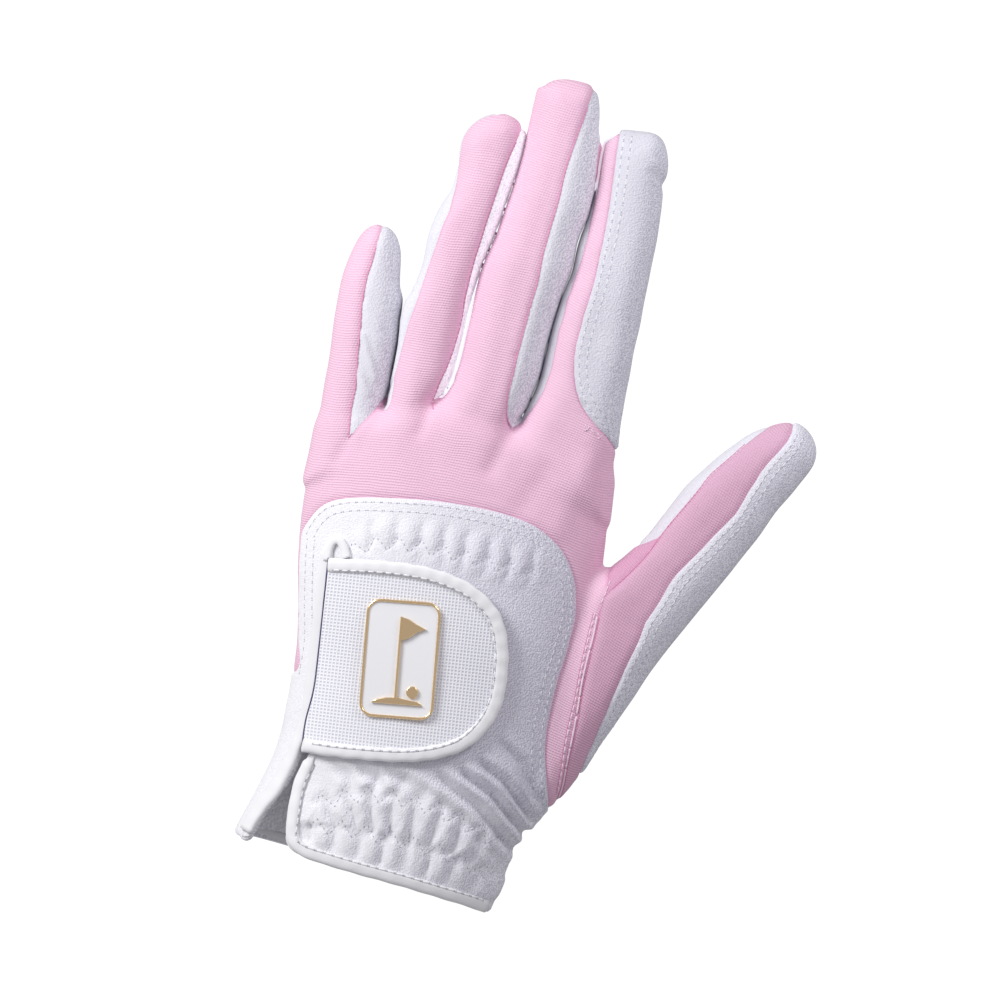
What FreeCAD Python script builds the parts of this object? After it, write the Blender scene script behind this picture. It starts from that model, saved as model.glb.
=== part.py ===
"""Left-hand golf glove in its worn shape, as separate sewn pieces.

Frame, in millimetres: +Y runs from the cuff to the fingertips, +X to the thumb side, +Z out of the
back of the hand. The glove lies palm down, and z = 0 is the flat of the palm it rests on. The
origin is the middle of that flat.
"""
import FreeCAD, Part
import math
import os

V = FreeCAD.Vector

# ---- driving dimensions ----
WALL = 1.0            # leather and knit wall, with its lining
HAND_ROUNDNESS = 2.35  # exponent of the hand's cross-sections (2 is an ellipse)
FINGER_ROUNDNESS = 2.15
HAND_POINTS = 32      # points round a hand section
FINGER_POINTS = 24    # points round a finger section
SIDE_Z = 14.5         # height of the seam between back and palm along both sides of the hand
CUFF_Y = -56.0        # hem line of the cuff
HEM_GAP = 0.05        # between the hem binding and the panels
SLIT_HEM_GAP = 0.1    # between the hem binding and the slit binding
SLIT_BIND_LENGTH = 71.0
BIND_W = 2.6          # folded width of the edge binding
BIND_T = 0.6          # how far the binding stands proud of the wall
KNUCKLE_FLEX = 75.0   # finger flexion at the knuckle
LITTLE_EXTRA_FLEX = 3.0
MIDDLE_FLEX = 90.0    # finger flexion at the middle joint
EXTEND = 10.0         # backward extension at the knuckle
GAP = 0.4             # running clearance at each side of a joint line
HINGE_DROP = 3.5      # a finger hinge sits this far below the finger's centre

# Finger roots: hinge line y and z in the end of the hand
ROOT_Y, ROOT_Z = 57.0, 9.0
LITTLE_ROOT_Y, LITTLE_ROOT_Z = 47.0, 8.1
MAIN_END_X = -31.6    # the main end bevel starts here and runs to the thumb side
LITTLE_END_X = -24.6  # the little finger's own bevel runs out to here
LITTLE_SPACE = (22.6, 60, 60)  # block cleared in front of the little finger's root

# Thumb
THUMB_SWING = 40.0    # thumb swing across the palm
THUMB_FLEX = 60.0     # thumb tip flexion
THUMB_DIR = 27.0      # angle of the thumb from +Y towards +X
THUMB_O = (36.7, 1.7)  # point on the thumb's centre line, level with the palm's middle
THUMB_JOINT_Y = 47.0  # tip joint, along the thumb
SWING_X, SWING_Z = 35.6, 19.0  # swing line of the thumb, along +Y
SWING_GAP = 1.0       # clearance beside the swing line
SWING_MARGIN = 2.0    # degrees added to the swing and the extension

# Heights above the hand's surface; negative is inside it
BAND_INSIDE = -WALL - 0.1     # inner face of the bindings, outer face of the elastics
ELASTIC_INSIDE = -WALL - 0.7
LOOP_BOTTOM, LOOP_TOP = 0.15, 0.75
TAB_BOTTOM, TAB_SPLIT, TAB_TOP = 0.85, 1.6, 2.2   # the split parts backing and panel
TAB_BIND_TOP = 2.6
BADGE_BOTTOM, PLATE_TOP, BADGE_TOP = 2.3, 3.5, 4.1

# Extents of the cutting blocks
REACH = 60            # how far wedges and bevels run from their line
SPAN = 400            # side of a block larger than the glove
MIN_VOLUME = 0.3      # smaller slivers are dropped

# ---- stations ----
# hand sections: y, min x, max x, bottom z, top z
HAND = [
    (-62.0, -34.0, 24.6, 2.4, 34.0), (-56.0, -34.0, 25.4, 2.0, 33.6),
    (-45.0, -33.6, 27.4, 1.2, 32.8), (-36.0, -32.2, 30.4, 0.4, 32.0),
    (-28.0, -31.4, 34.0, -0.2, 31.0), (-10.0, -32.6, 34.6, -0.6, 29.4),
    (10.0, -36.6, 34.8, -0.6, 28.8), (24.0, -38.6, 34.4, -0.2, 28.0),
    (34.0, -38.9, 33.4, 0.5, 26.4), (43.0, -38.9, 32.4, 1.6, 24.4),
    (52.0, -39.0, 31.2, 2.6, 23.0), (58.0, -39.0, 30.6, 3.0, 22.4),
]
# fingers: y, min x, max x, centre z, half height
LITTLE = [
    (36.0, -38.4, -25.4, 12.0, 7.6), (44.0, -38.9, -25.4, 11.6, 7.6),
    (56.0, -39.6, -25.6, 10.8, 7.5), (66.0, -40.4, -26.0, 10.2, 7.4),
    (76.0, -41.0, -27.2, 9.2, 7.0), (83.0, -40.4, -28.6, 8.4, 6.4),
    (88.0, -38.9, -30.4, 7.9, 5.2), (90.6, -37.4, -32.4, 7.7, 3.4),
    (91.8, -36.2, -33.8, 7.6, 1.6),
]
RING = [
    (48.0, -23.4, -11.6, 12.8, 8.6), (56.0, -23.5, -11.4, 12.5, 8.6),
    (70.0, -23.7, -11.0, 11.8, 8.5), (86.0, -22.6, -10.4, 11.0, 8.3),
    (100.0, -21.2, -8.6, 9.8, 7.8), (111.0, -19.6, -7.2, 9.0, 7.2),
    (118.0, -18.4, -7.6, 8.6, 6.0), (121.6, -15.9, -9.2, 8.4, 4.0),
    (123.2, -13.6, -11.0, 8.3, 1.8),
]
MIDDLE = [
    (48.0, -9.7, 7.0, 13.2, 9.0), (56.0, -9.6, 7.4, 13.0, 9.0),
    (72.0, -9.3, 8.6, 12.2, 8.9), (90.0, -8.4, 10.2, 11.5, 8.6),
    (104.0, -6.6, 10.8, 10.2, 8.2), (118.0, -5.4, 11.0, 9.2, 7.4),
    (127.0, -4.4, 9.4, 8.8, 6.2), (132.0, -2.4, 6.6, 8.6, 4.0),
    (134.2, 0.2, 3.4, 8.5, 1.8),
]
INDEX = [
    (48.0, 9.6, 30.6, 12.8, 9.2), (56.0, 9.9, 30.2, 12.5, 9.1),
    (72.0, 11.0, 29.7, 11.7, 8.8), (88.0, 12.4, 29.4, 11.0, 8.5),
    (102.0, 13.4, 29.0, 9.6, 7.9), (114.0, 13.6, 28.2, 8.8, 7.2),
    (121.0, 14.0, 26.0, 8.5, 5.6), (124.8, 16.0, 23.6, 8.4, 3.6),
    (126.2, 18.2, 21.4, 8.3, 1.6),
]
# thumb, along its own centre line: distance, min offset, max offset, centre z, half height
THUMB = [
    (-34.0, -8.0, 12.6, 15.0, 8.8), (-14.0, -9.0, 12.4, 15.0, 9.2),
    (4.0, -10.0, 10.8, 15.0, 9.4), (20.0, -10.4, 10.3, 14.8, 9.4),
    (34.0, -10.3, 10.2, 14.4, 9.2), (47.0, -10.2, 10.2, 13.8, 8.8),
    (57.0, -8.9, 9.8, 13.2, 8.2), (66.0, -6.6, 9.2, 12.8, 7.0),
    (71.5, -3.8, 7.8, 12.6, 4.8), (74.0, -0.6, 5.4, 12.5, 2.2),
]
# stations, knuckle hinge y, middle hinge y, and the pieces with the angles round the finger
# (0 is up, 90 the thumb side) where they meet
FINGERS = {
    "index": (INDEX, ROOT_Y, 88.0, [
        ("back", -75, -20), ("overlay", -20, 95), ("palm", 95, 225),
        ("fourchette_ulnar", 225, 285)]),
    "middle": (MIDDLE, ROOT_Y, 92.0, [
        ("back", -110, 20), ("fourchette_radial", 20, 75), ("palm", 75, 200),
        ("fourchette_ulnar", 200, 250)]),
    "ring": (RING, ROOT_Y, 86.0, [
        ("back", -60, 50), ("fourchette_radial", 50, 105), ("palm", 105, 245),
        ("fourchette_ulnar", 245, 300)]),
    "little": (LITTLE, LITTLE_ROOT_Y, 66.0, [
        ("back", -130, -7), ("fourchette_radial", -7, 60), ("palm", 60, 230)]),
}
THUMB_PIECES = [("back", -49, 13), ("overlay", 13, 110), ("palm", 110, 311)]
THUMB_AXIS = (0.0, -40.0, 15.4), (1.4, 80.0, 12.4)  # ends of the line its pieces fan out from

# ---- outlines on the back of the hand: x, y ----
WRIST_PANEL = [
    (-40, 12), (-37.15, 17.8), (-35.2, 23.0), (-30.1, 27.3), (-24.5, 29.0), (-16.4, 30.5),
    (-2.3, 32.2), (10.9, 32.0), (20, 29.2), (26, 23.8), (29.2, 16.1), (30, 9), (29.6, 2.2),
    (28.95, -6.8), (29.15, -16.4), (30.9, -24.4), (32.2, -29), (36, -36), (36, -70),
    (-50, -70), (-50, 12),
]
# edges of the slit, both from its finger end to the hem
SLIT_LITTLE_SIDE = [
    (-28.3, 15.0), (-27.9, 6.0), (-27.0, -8.0), (-26.6, -22.0), (-27.2, -34.0),
    (-29.4, -44.0), (-31.6, -49.5), (-33.2, -60.0),
]
SLIT_THUMB_SIDE = [
    (-26.9, 15.0), (-26.2, 6.0), (-25.2, -8.0), (-24.6, -22.0), (-24.2, -34.0),
    (-25.4, -40.0), (-25.4, -50.0), (-24.6, -60.0),
]
LOOP_PATCH = [
    (-17.0, 8.0), (4.0, 8.0), (9.0, 4.0), (11.5, -4.0), (11.0, -13.0), (7.0, -20.0),
    (0.0, -24.0), (-16.0, -25.5),
]
UPPER_ELASTIC = [(-20, 18.0), (20, 17.0), (20, 23.0), (-20, 24.0)]
WRIST_ELASTIC = [(-20, -50.0), (23, -51.5), (23, -39.5), (-20, -39.0)]
TAB = [
    (-25.8, 13.2), (-17.8, 15.2), (-8.4, 16.0), (-2.3, 15.7), (2.7, 14.9), (6.6, 13.4),
    (10.9, 10.5), (13.6, 7.2), (15.7, 2.2), (16.8, -2.3), (17.2, -8.2), (16.7, -13.6),
    (14.9, -18.3), (12.2, -22.2), (9.1, -24.8), (3.7, -27.4), (-3.1, -29.5), (-12.3, -31.0),
    (-18.0, -31.8), (-22.6, -32.2),
]
TAB_INSIDE_BINDING = [
    (-25.2, 10.6), (-17.4, 12.0), (-8.3, 12.8), (-2.3, 12.5), (1.8, 11.8), (5.2, 10.6),
    (8.8, 8.1), (11.0, 5.4), (12.6, 1.0), (13.6, -3.0), (13.9, -8.2), (13.5, -12.8),
    (11.9, -16.7), (9.7, -19.9), (7.1, -22.1), (2.4, -24.3), (-3.6, -26.3), (-12.4, -27.8),
    (-18.4, -28.6), (-22.9, -28.9),
]
HOOK_WINDOW = [
    (-12.0, 5.4), (2.6, 5.0), (6.6, 1.6), (8.8, -5.0), (8.4, -12.0), (4.8, -18.0),
    (-1.0, -21.4), (-11.6, -22.6),
]
HOOK_PATCH = [
    (-11.9, 5.3), (2.5, 4.9), (6.5, 1.5), (8.7, -5.0), (8.3, -12.0), (4.7, -17.9),
    (-1.1, -21.3), (-11.5, -22.5),
]

# ---- badge ----
BADGE = [(-17.7, 6.2), (-0.5, 8.5), (2.7, -18.6), (-15.6, -20.8)]
BADGE_HALF = (8.9, 13.7)      # half sizes that turn an inset into a scale
BADGE_WIDTH = 17.4
BADGE_CORNER = 3.6            # rounding of the frame's corners
PLATE_INSET, PLATE_CORNER = 1.3, 2.8
# emblem outlines: across and up from the badge's centre
POLE = [(-1.0, -8.6), (-0.2, -8.6), (-0.2, 8.8), (-1.0, 8.8)]
FLAG = [(-0.25, 8.8), (4.6, 6.3), (-0.25, 3.8)]
GREEN = [(-5.0, -9.9), (5.0, -9.9), (4.2, -9.1), (2.0, -8.95), (-2.0, -8.6), (-4.2, -9.1)]
BALL, BALL_R = (3.0, -7.6), 1.25


# ---- helpers ----
def section_wire(centre_x, centre_z, half_width, half_height, y, count, roundness):
    """A closed superellipse across Y."""
    points = []
    for i in range(count):
        angle = 2 * math.pi * i / count
        c, s = math.cos(angle), math.sin(angle)
        points.append(V(
            centre_x + half_width * math.copysign(abs(c) ** (2 / roundness), c),
            y,
            centre_z + half_height * math.copysign(abs(s) ** (2 / roundness), s)))
    curve = Part.BSplineCurve()
    curve.interpolate(points, PeriodicFlag=True)
    return Part.Wire([curve.toShape()])


def hand_loft(offset):
    wires = [section_wire((x0 + x1) / 2, (z0 + z1) / 2, (x1 - x0) / 2 + offset,
                          (z1 - z0) / 2 + offset, y, HAND_POINTS, HAND_ROUNDNESS)
             for y, x0, x1, z0, z1 in HAND]
    return Part.makeLoft(wires, True, False)


def finger_loft(stations, offset):
    """A finger's solid; its last stations also move along Y, to offset the tip."""
    tip_length = 6
    last = stations[-1][0]
    wires = []
    for y, x0, x1, centre_z, half_height in stations:
        half_width = max((x1 - x0) / 2 + offset, 0.5)
        half_height = max(half_height + offset, 0.5)
        if y >= last - tip_length:
            y = y + offset * (1 - (last - y) / tip_length)
        wires.append(section_wire((x0 + x1) / 2, centre_z, half_width, half_height, y,
                                  FINGER_POINTS, FINGER_ROUNDNESS))
    return Part.makeLoft(wires, True, False)


def finger_tube(stations):
    return finger_loft(stations, 0.0).cut(finger_loft(stations, -WALL))


def extrude(points, direction):
    return Part.Face(Part.makePolygon(points + [points[0]])).extrude(direction)


def prism(outline):
    """An x, y outline run through the whole height of the glove."""
    return extrude([V(x, y, -20.0) for x, y in outline], V(0, 0, 100.0))


def yz_prism(outline, x0=-80.0, x1=120.0):
    return extrude([V(x0, y, z) for y, z in outline], V(x1 - x0, 0, 0))


def xz_prism(outline, y0=-80.0, y1=140.0):
    return extrude([V(x, y0, z) for x, z in outline], V(0, y1 - y0, 0))


def block_above(z):
    return Part.makeBox(SPAN, SPAN, SPAN / 2, V(-SPAN / 2, -SPAN / 2, z))


def slab(y, length):
    """Everything from y over a length along +Y."""
    return Part.makeBox(SPAN, length, SPAN, V(-SPAN / 2, y, -SPAN / 2))


def keep_before(y, z, down, up):
    """The y, z space on the near side of a hinge, with room for the far side to fold."""
    low = math.tan(math.radians(down / 2)) * REACH
    high = math.tan(math.radians(up / 2)) * REACH
    return [(y - GAP, z), (y - GAP - high, z + REACH), (y - 300, z + REACH),
            (y - 300, z - REACH), (y - GAP - low, z - REACH)]


def keep_after(hinge_y, hinge_z, down, up):
    return [(2 * hinge_y - y, z) for y, z in keep_before(hinge_y, hinge_z, down, up)]


def offset_line(points, distance):
    """Offsets an open run of points to its left."""
    out = []
    for i, (x, y) in enumerate(points):
        before, after = points[max(i - 1, 0)], points[min(i + 1, len(points) - 1)]
        dx, dy = after[0] - before[0], after[1] - before[1]
        length = math.hypot(dx, dy)
        out.append((x - dy / length * distance, y + dx / length * distance))
    return out


def wedge(start, end, angle0, angle1):
    """A wedge round the line from start to end between two angles, from +Z towards +X."""
    x, y, z = start
    steps = max(2, int(abs(angle1 - angle0) / 30) + 1)
    points = [V(x, y, z)]
    for i in range(steps + 1):
        angle = math.radians(angle0 + (angle1 - angle0) * i / steps)
        points.append(V(x + REACH * math.sin(angle), y, z + REACH * math.cos(angle)))
    return extrude(points, V(*end) - V(*start))


def hinge_height(stations, hinge_y):
    """The finger's centre z at a hinge, less the hinge's drop."""
    for a, b in zip(stations, stations[1:]):
        if hinge_y <= b[0]:
            return a[3] + (hinge_y - a[0]) / (b[0] - a[0]) * (b[3] - a[3]) - HINGE_DROP


def save(name, shape):
    solids = [s for s in shape.Solids if s.Volume > MIN_VOLUME]
    if not solids:
        raise RuntimeError("nothing left of " + name)
    shape = solids[0] if len(solids) == 1 else Part.makeCompound(solids)
    shape.exportStep("parts/" + name + ".step")


SKINS = {}


def skin(offset):
    if offset not in SKINS:
        SKINS[offset] = hand_loft(offset)
    return SKINS[offset]


def layer(bottom, top):
    """The space between two heights above the hand's surface."""
    return skin(top).cut(skin(bottom))


FLOOR = block_above(0.0)
UPPER = block_above(SIDE_Z)
LOWER = block_above(SIDE_Z - SPAN / 2)


# ---- hand ----
def hand_body():
    """The hand's shell, open at the cuff and bevelled at the finger roots."""
    shell = skin(0.0).common(FLOOR).cut(skin(-WALL).common(block_above(WALL)))
    end_main = yz_prism(keep_before(ROOT_Y, ROOT_Z, KNUCKLE_FLEX, EXTEND), MAIN_END_X, 60.0)
    end_little = yz_prism(
        keep_before(LITTLE_ROOT_Y, LITTLE_ROOT_Z, KNUCKLE_FLEX + LITTLE_EXTRA_FLEX, EXTEND),
        -80.0, LITTLE_END_X)
    body = shell.common(end_main.fuse(end_little)).common(slab(CUFF_Y + HEM_GAP, SPAN))
    # the little finger's own space is kept clear from its root on
    space = Part.makeBox(*LITTLE_SPACE, V(LITTLE_END_X - LITTLE_SPACE[0], 30.0, -10))
    return body.cut(space.cut(end_little))


def save_hand():
    body = hand_body()
    wrist = prism(WRIST_PANEL)
    slit = prism(SLIT_LITTLE_SIDE + SLIT_THUMB_SIDE[::-1])
    slit_wide = prism(offset_line(SLIT_LITTLE_SIDE, -BIND_W)
                      + offset_line(SLIT_THUMB_SIDE, BIND_W)[::-1])
    top_half = body.common(UPPER)
    save("back_panel", top_half.cut(wrist))
    save("palm_panel", body.common(LOWER))
    save("wrist_panel", top_half.common(wrist).cut(slit_wide))
    # folded tape along both edges of the slit, and round the hem but open at the slit
    band = layer(BAND_INSIDE, BIND_T)
    slit_range = slab(CUFF_Y + SLIT_HEM_GAP, SLIT_BIND_LENGTH)
    save("slit_binding", band.common(UPPER).common(slit_wide).cut(slit).common(slit_range))
    hem = slab(CUFF_Y - BIND_W, BIND_W)
    save("cuff_binding", band.common(FLOOR).common(hem).cut(slit))


def save_elastics():
    """Elastics sewn inside the back of the hand."""
    elastic = layer(ELASTIC_INSIDE, BAND_INSIDE).common(UPPER)
    save("upper_elastic", elastic.common(prism(UPPER_ELASTIC)))
    save("wrist_elastic", elastic.common(prism(WRIST_ELASTIC)))


# ---- closure tab ----
def save_tab():
    """The tab, its hook patch and the loop patch on the wrist panel under it."""
    save("loop_patch", layer(LOOP_BOTTOM, LOOP_TOP).common(prism(LOOP_PATCH)).common(UPPER))
    inside = prism(TAB_INSIDE_BINDING)
    under = layer(TAB_BOTTOM, TAB_SPLIT)
    save("tab_backing", under.common(inside).common(UPPER).cut(prism(HOOK_WINDOW)))
    save("hook_patch", under.common(prism(HOOK_PATCH)).common(UPPER))
    save("tab_panel", layer(TAB_SPLIT, TAB_TOP).common(inside).common(UPPER))
    binding = layer(TAB_BOTTOM, TAB_BIND_TOP).common(prism(TAB))
    save("tab_binding", binding.common(UPPER).cut(inside))


# ---- badge ----
BADGE_X = sum(p[0] for p in BADGE) / 4
BADGE_Y = sum(p[1] for p in BADGE) / 4


def badge_outline(inset, corner):
    """The badge's outline drawn in by an inset, its corners rounded by quadratic curves."""
    half_x, half_y = BADGE_HALF
    quad = [(BADGE_X + (x - BADGE_X) * (1 - inset / half_x),
             BADGE_Y + (y - BADGE_Y) * (1 - inset / half_y)) for x, y in BADGE]
    out = []
    for i, (x, y) in enumerate(quad):
        ends = []
        for other in (quad[i - 1], quad[(i + 1) % 4]):
            dx, dy = other[0] - x, other[1] - y
            length = math.hypot(dx, dy)
            ends.append((x + dx / length * corner, y + dy / length * corner))
        (x0, y0), (x1, y1) = ends
        for k in range(5):
            t = k / 4
            out.append(((1 - t) ** 2 * x0 + 2 * t * (1 - t) * x + t * t * x1,
                        (1 - t) ** 2 * y0 + 2 * t * (1 - t) * y + t * t * y1))
    return out


def badge_point(across, up):
    ux = (BADGE[1][0] - BADGE[0][0]) / BADGE_WIDTH
    uy = (BADGE[1][1] - BADGE[0][1]) / BADGE_WIDTH
    return BADGE_X + across * ux - up * uy, BADGE_Y + across * uy + up * ux


def save_badge():
    frame, plate = prism(badge_outline(0, BADGE_CORNER)), prism(
        badge_outline(PLATE_INSET, PLATE_CORNER))
    save("badge_plate", layer(BADGE_BOTTOM, PLATE_TOP).common(plate).common(UPPER))
    save("badge_frame", layer(BADGE_BOTTOM, BADGE_TOP).common(frame).common(UPPER).cut(plate))
    # a plain flag and ball, raised on the plate
    pole, flag, green = [prism([badge_point(*p) for p in outline])
                         for outline in (POLE, FLAG, GREEN)]
    ball = Part.makeCylinder(BALL_R, 100, V(*badge_point(*BALL), -20))
    relief = layer(PLATE_TOP, BADGE_TOP).common(UPPER)
    save("badge_emblem",
         relief.common(pole.fuse(flag).fuse(green)).fuse(relief.common(ball)))


# ---- fingers and thumb ----
def split_at_joint(tube, near_part, stations, y, flex):
    """The base and the tip on either side of a joint."""
    z = hinge_height(stations, y)
    return (("base", near_part.common(yz_prism(keep_before(y, z, flex, 0.0)))),
            ("tip", tube.common(yz_prism(keep_after(y, z, flex, 0.0)))))


def finger_axis(stations):
    """The line through the second and third-last stations, run 5 mm past both ends."""
    a, b = stations[1], stations[-3]
    x, z = (a[1] + a[2]) / 2, a[3]
    slope_x = ((b[1] + b[2]) / 2 - x) / (b[0] - a[0])
    slope_z = (b[3] - z) / (b[0] - a[0])
    return [(x + slope_x * (y - a[0]), y, z + slope_z * (y - a[0]))
            for y in (stations[0][0] - 5, stations[-1][0] + 5)]


def save_finger(name, stations, knuckle_y, middle_y, pieces):
    tube = finger_tube(stations)
    knuckle_z = hinge_height(stations, knuckle_y)
    past_knuckle = tube.common(
        yz_prism(keep_after(knuckle_y, knuckle_z, KNUCKLE_FLEX, EXTEND)))
    start, end = finger_axis(stations)
    for part, solid in split_at_joint(tube, past_knuckle, stations, middle_y, MIDDLE_FLEX):
        for piece, angle0, angle1 in pieces:
            save("%s_%s_%s" % (name, part, piece),
                 solid.common(wedge(start, end, angle0, angle1)))


def place_thumb(shape):
    placed = shape.copy()
    placed.rotate(V(0, 0, 0), V(0, 0, 1), -THUMB_DIR)
    placed.translate(V(*THUMB_O, 0))
    return placed


def thumb_room():
    """The space on the thumb's side of its swing line, with room to swing and extend."""
    x = SWING_X + SWING_GAP
    low = math.tan(math.radians(THUMB_SWING + SWING_MARGIN)) * REACH
    high = math.tan(math.radians(EXTEND + SWING_MARGIN)) * REACH
    room = xz_prism([(x, SWING_Z), (x + high, SWING_Z + REACH), (300, SWING_Z + REACH),
                     (300, SWING_Z - REACH), (x + low, SWING_Z - REACH)])
    # nothing of the thumb reaches nearer the cuff than y = -30
    return room.cut(Part.makeBox(SPAN, 60, 200, V(-SPAN / 2, -90, -100)))


def save_thumb():
    """The thumb, modelled along +Y and turned into place."""
    tube = finger_tube(THUMB)
    room = thumb_room()
    for part, solid in split_at_joint(tube, tube, THUMB, THUMB_JOINT_Y, THUMB_FLEX):
        for piece, angle0, angle1 in THUMB_PIECES:
            shape = place_thumb(solid.common(wedge(*THUMB_AXIS, angle0, angle1)))
            if part == "base":
                shape = shape.common(room)
                if piece == "palm":
                    # a small knit gusset in the crook takes the corner next to the index side
                    corner = Part.makeBox(14, 12.6, 60, V(36.9, 24.0, 8.0))
                    save("thumb_gusset", shape.common(corner))
                    shape = shape.cut(corner)
            save("thumb_%s_%s" % (part, piece), shape)


os.makedirs("parts", exist_ok=True)
save_hand()
save_elastics()
save_tab()
save_badge()
for finger, details in FINGERS.items():
    save_finger(finger, *details)
save_thumb()
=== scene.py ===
# A left-hand glove lying palm down, in its worn shape: the fingers point along +Y, the thumb
# lies towards +X and the back of the hand faces +Z. The knit, suede and leather panels are cut
# from one skin; the tab, badge, bindings and stitches are laid on it.
# Working units are mm; everything is scaled to metres when a mesh is made.
import math
import bmesh
import bpy
import numpy as np
from mathutils import Matrix, Vector, kdtree
from mathutils.bvhtree import BVHTree
from mathutils.geometry import tessellate_polygon


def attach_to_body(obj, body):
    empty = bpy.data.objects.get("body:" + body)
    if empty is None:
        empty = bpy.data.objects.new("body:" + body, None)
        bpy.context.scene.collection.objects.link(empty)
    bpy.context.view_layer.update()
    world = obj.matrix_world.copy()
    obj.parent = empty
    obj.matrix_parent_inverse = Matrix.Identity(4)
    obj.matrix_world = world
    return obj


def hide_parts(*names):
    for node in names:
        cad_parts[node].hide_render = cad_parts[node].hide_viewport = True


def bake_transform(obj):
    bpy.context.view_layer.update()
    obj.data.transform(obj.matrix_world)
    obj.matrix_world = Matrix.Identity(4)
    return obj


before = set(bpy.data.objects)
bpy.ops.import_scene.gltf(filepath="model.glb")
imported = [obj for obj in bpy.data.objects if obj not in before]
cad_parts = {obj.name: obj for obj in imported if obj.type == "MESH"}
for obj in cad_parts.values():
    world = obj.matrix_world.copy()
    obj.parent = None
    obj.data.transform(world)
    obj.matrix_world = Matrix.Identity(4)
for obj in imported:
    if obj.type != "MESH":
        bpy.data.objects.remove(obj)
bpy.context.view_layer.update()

CAD_PIECES = set(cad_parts)
MM = 0.001
TURN = 2 * math.pi
FINGERS = ("little", "ring", "middle", "index")

# ------------------------------------------------------------------ outlines seen from above
# Points are (x, y) unless a comment says otherwise.

# left (-X) and right (+X) edge of each finger, from root to tip
FINGER_EDGES = {
    "little": (
        [(-38.8, 30), (-38.8, 35.9), (-38.9, 39.5), (-39.2, 44.3), (-39.5, 49), (-39.8, 53.8),
         (-39.9, 58.5), (-40.3, 63.3), (-40.8, 68), (-41.1, 72.7), (-41.2, 77.5), (-40.8, 82),
         (-39.9, 86.6), (-38.6, 90.1), (-36.8, 92.2), (-34.9, 92.8)],
        [(-24.9, 30), (-24.9, 46), (-24.8, 52.3), (-24.9, 57.1), (-25.3, 61.8), (-25.6, 66.6),
         (-26.2, 71.3), (-27, 75.9), (-27.8, 80.6), (-28.6, 85.4), (-29.3, 88), (-30.6, 90.6),
         (-32.5, 92.3), (-34.9, 92.8)]),
    "ring": (
        [(-24.2, 36), (-24.3, 50), (-24.3, 56), (-24.1, 62), (-24.2, 66.8), (-24.6, 71.5),
         (-24.7, 76.3), (-24.1, 80.1), (-23.4, 83.9), (-23.2, 87.5), (-23.4, 92.3), (-22.8, 97.2),
         (-21.7, 101.1), (-20.4, 103.8), (-20.1, 107.5), (-20.3, 112.2), (-20.6, 115.8),
         (-19.9, 119.2), (-17.6, 122.2), (-14.6, 124), (-11.6, 124.5)],
        [(-13.6, 36), (-13.9, 48), (-13.6, 52.5), (-12.6, 55.5), (-11, 60), (-10.6, 67.7),
         (-10.6, 73.6), (-10.5, 78.5), (-10.3, 83.3), (-9.7, 89), (-8.6, 94.5), (-7.8, 100),
         (-7.2, 105.7), (-6.7, 110.5), (-6.5, 115.4), (-6.6, 119), (-7.2, 121.9), (-9, 124),
         (-11.6, 124.5)]),
    "middle": (
        [(-13.4, 36), (-13.5, 50), (-13.1, 53.6), (-11.4, 56.8), (-9.9, 61.5), (-9.5, 67.5),
         (-9.6, 73.5), (-9.5, 78.4), (-9.3, 83.2), (-8.9, 88.9), (-7.7, 94.4), (-7, 99.9),
         (-6.3, 105.5), (-5.7, 110.5), (-5.2, 115.4), (-5, 120.3), (-5, 123.9), (-5.1, 126.9),
         (-5.3, 129.4), (-5, 131.8), (-3.7, 134), (-1.6, 135.3), (1.4, 135.8)],
        [(5.6, 36), (5.8, 50), (6.7, 54), (7.5, 58), (8.1, 60.1), (8.8, 63.4), (9.1, 67.1),
         (9.1, 70.7), (9.2, 74.3), (9.4, 79.2), (9.7, 82.9), (10.1, 86.6), (10.9, 90.3),
         (10.9, 93.5), (10.7, 97.5), (10.9, 100.7), (11.7, 104.2), (12.1, 108.2), (12.1, 111.1),
         (11.8, 115.8), (11.4, 120.5), (10.4, 125.1), (9.7, 129.8), (8.9, 132.9), (7.2, 135.2),
         (4.4, 135.9), (1.4, 135.8)]),
    "index": (
        [(6, 36), (6.2, 50), (7.5, 54.5), (8.8, 59.2), (9.8, 63.5), (10.2, 67.2), (10.1, 70.8),
         (10.2, 74.4), (10.4, 79.3), (10.8, 83), (11.2, 86.7), (12, 90.5), (12.3, 93.6),
         (12.2, 97.7), (12.6, 100.9), (13.2, 104.5), (13.4, 108.3), (13.5, 111.7), (13.3, 114.8),
         (13.1, 118.4), (12.9, 121.5), (13.4, 123.8), (14.2, 125.6), (16, 126.6), (19.5, 127)],
        [(31.5, 36), (31, 43.3), (30.7, 48), (30.7, 52.2), (30.5, 55), (30, 59.7), (29.8, 65.7),
         (29.7, 70.5), (29.6, 75.3), (29.5, 80.1), (29.4, 84.9), (29.3, 89.7), (29.2, 94.5),
         (29.1, 99.3), (29, 102.9), (28.7, 107.6), (28.4, 111.1), (28, 114.7), (28.1, 117.4),
         (28.2, 120.1), (27.5, 122.8), (26.4, 125.2), (25, 126.9), (22.4, 127.3), (19.5, 127)]),
}
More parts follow.
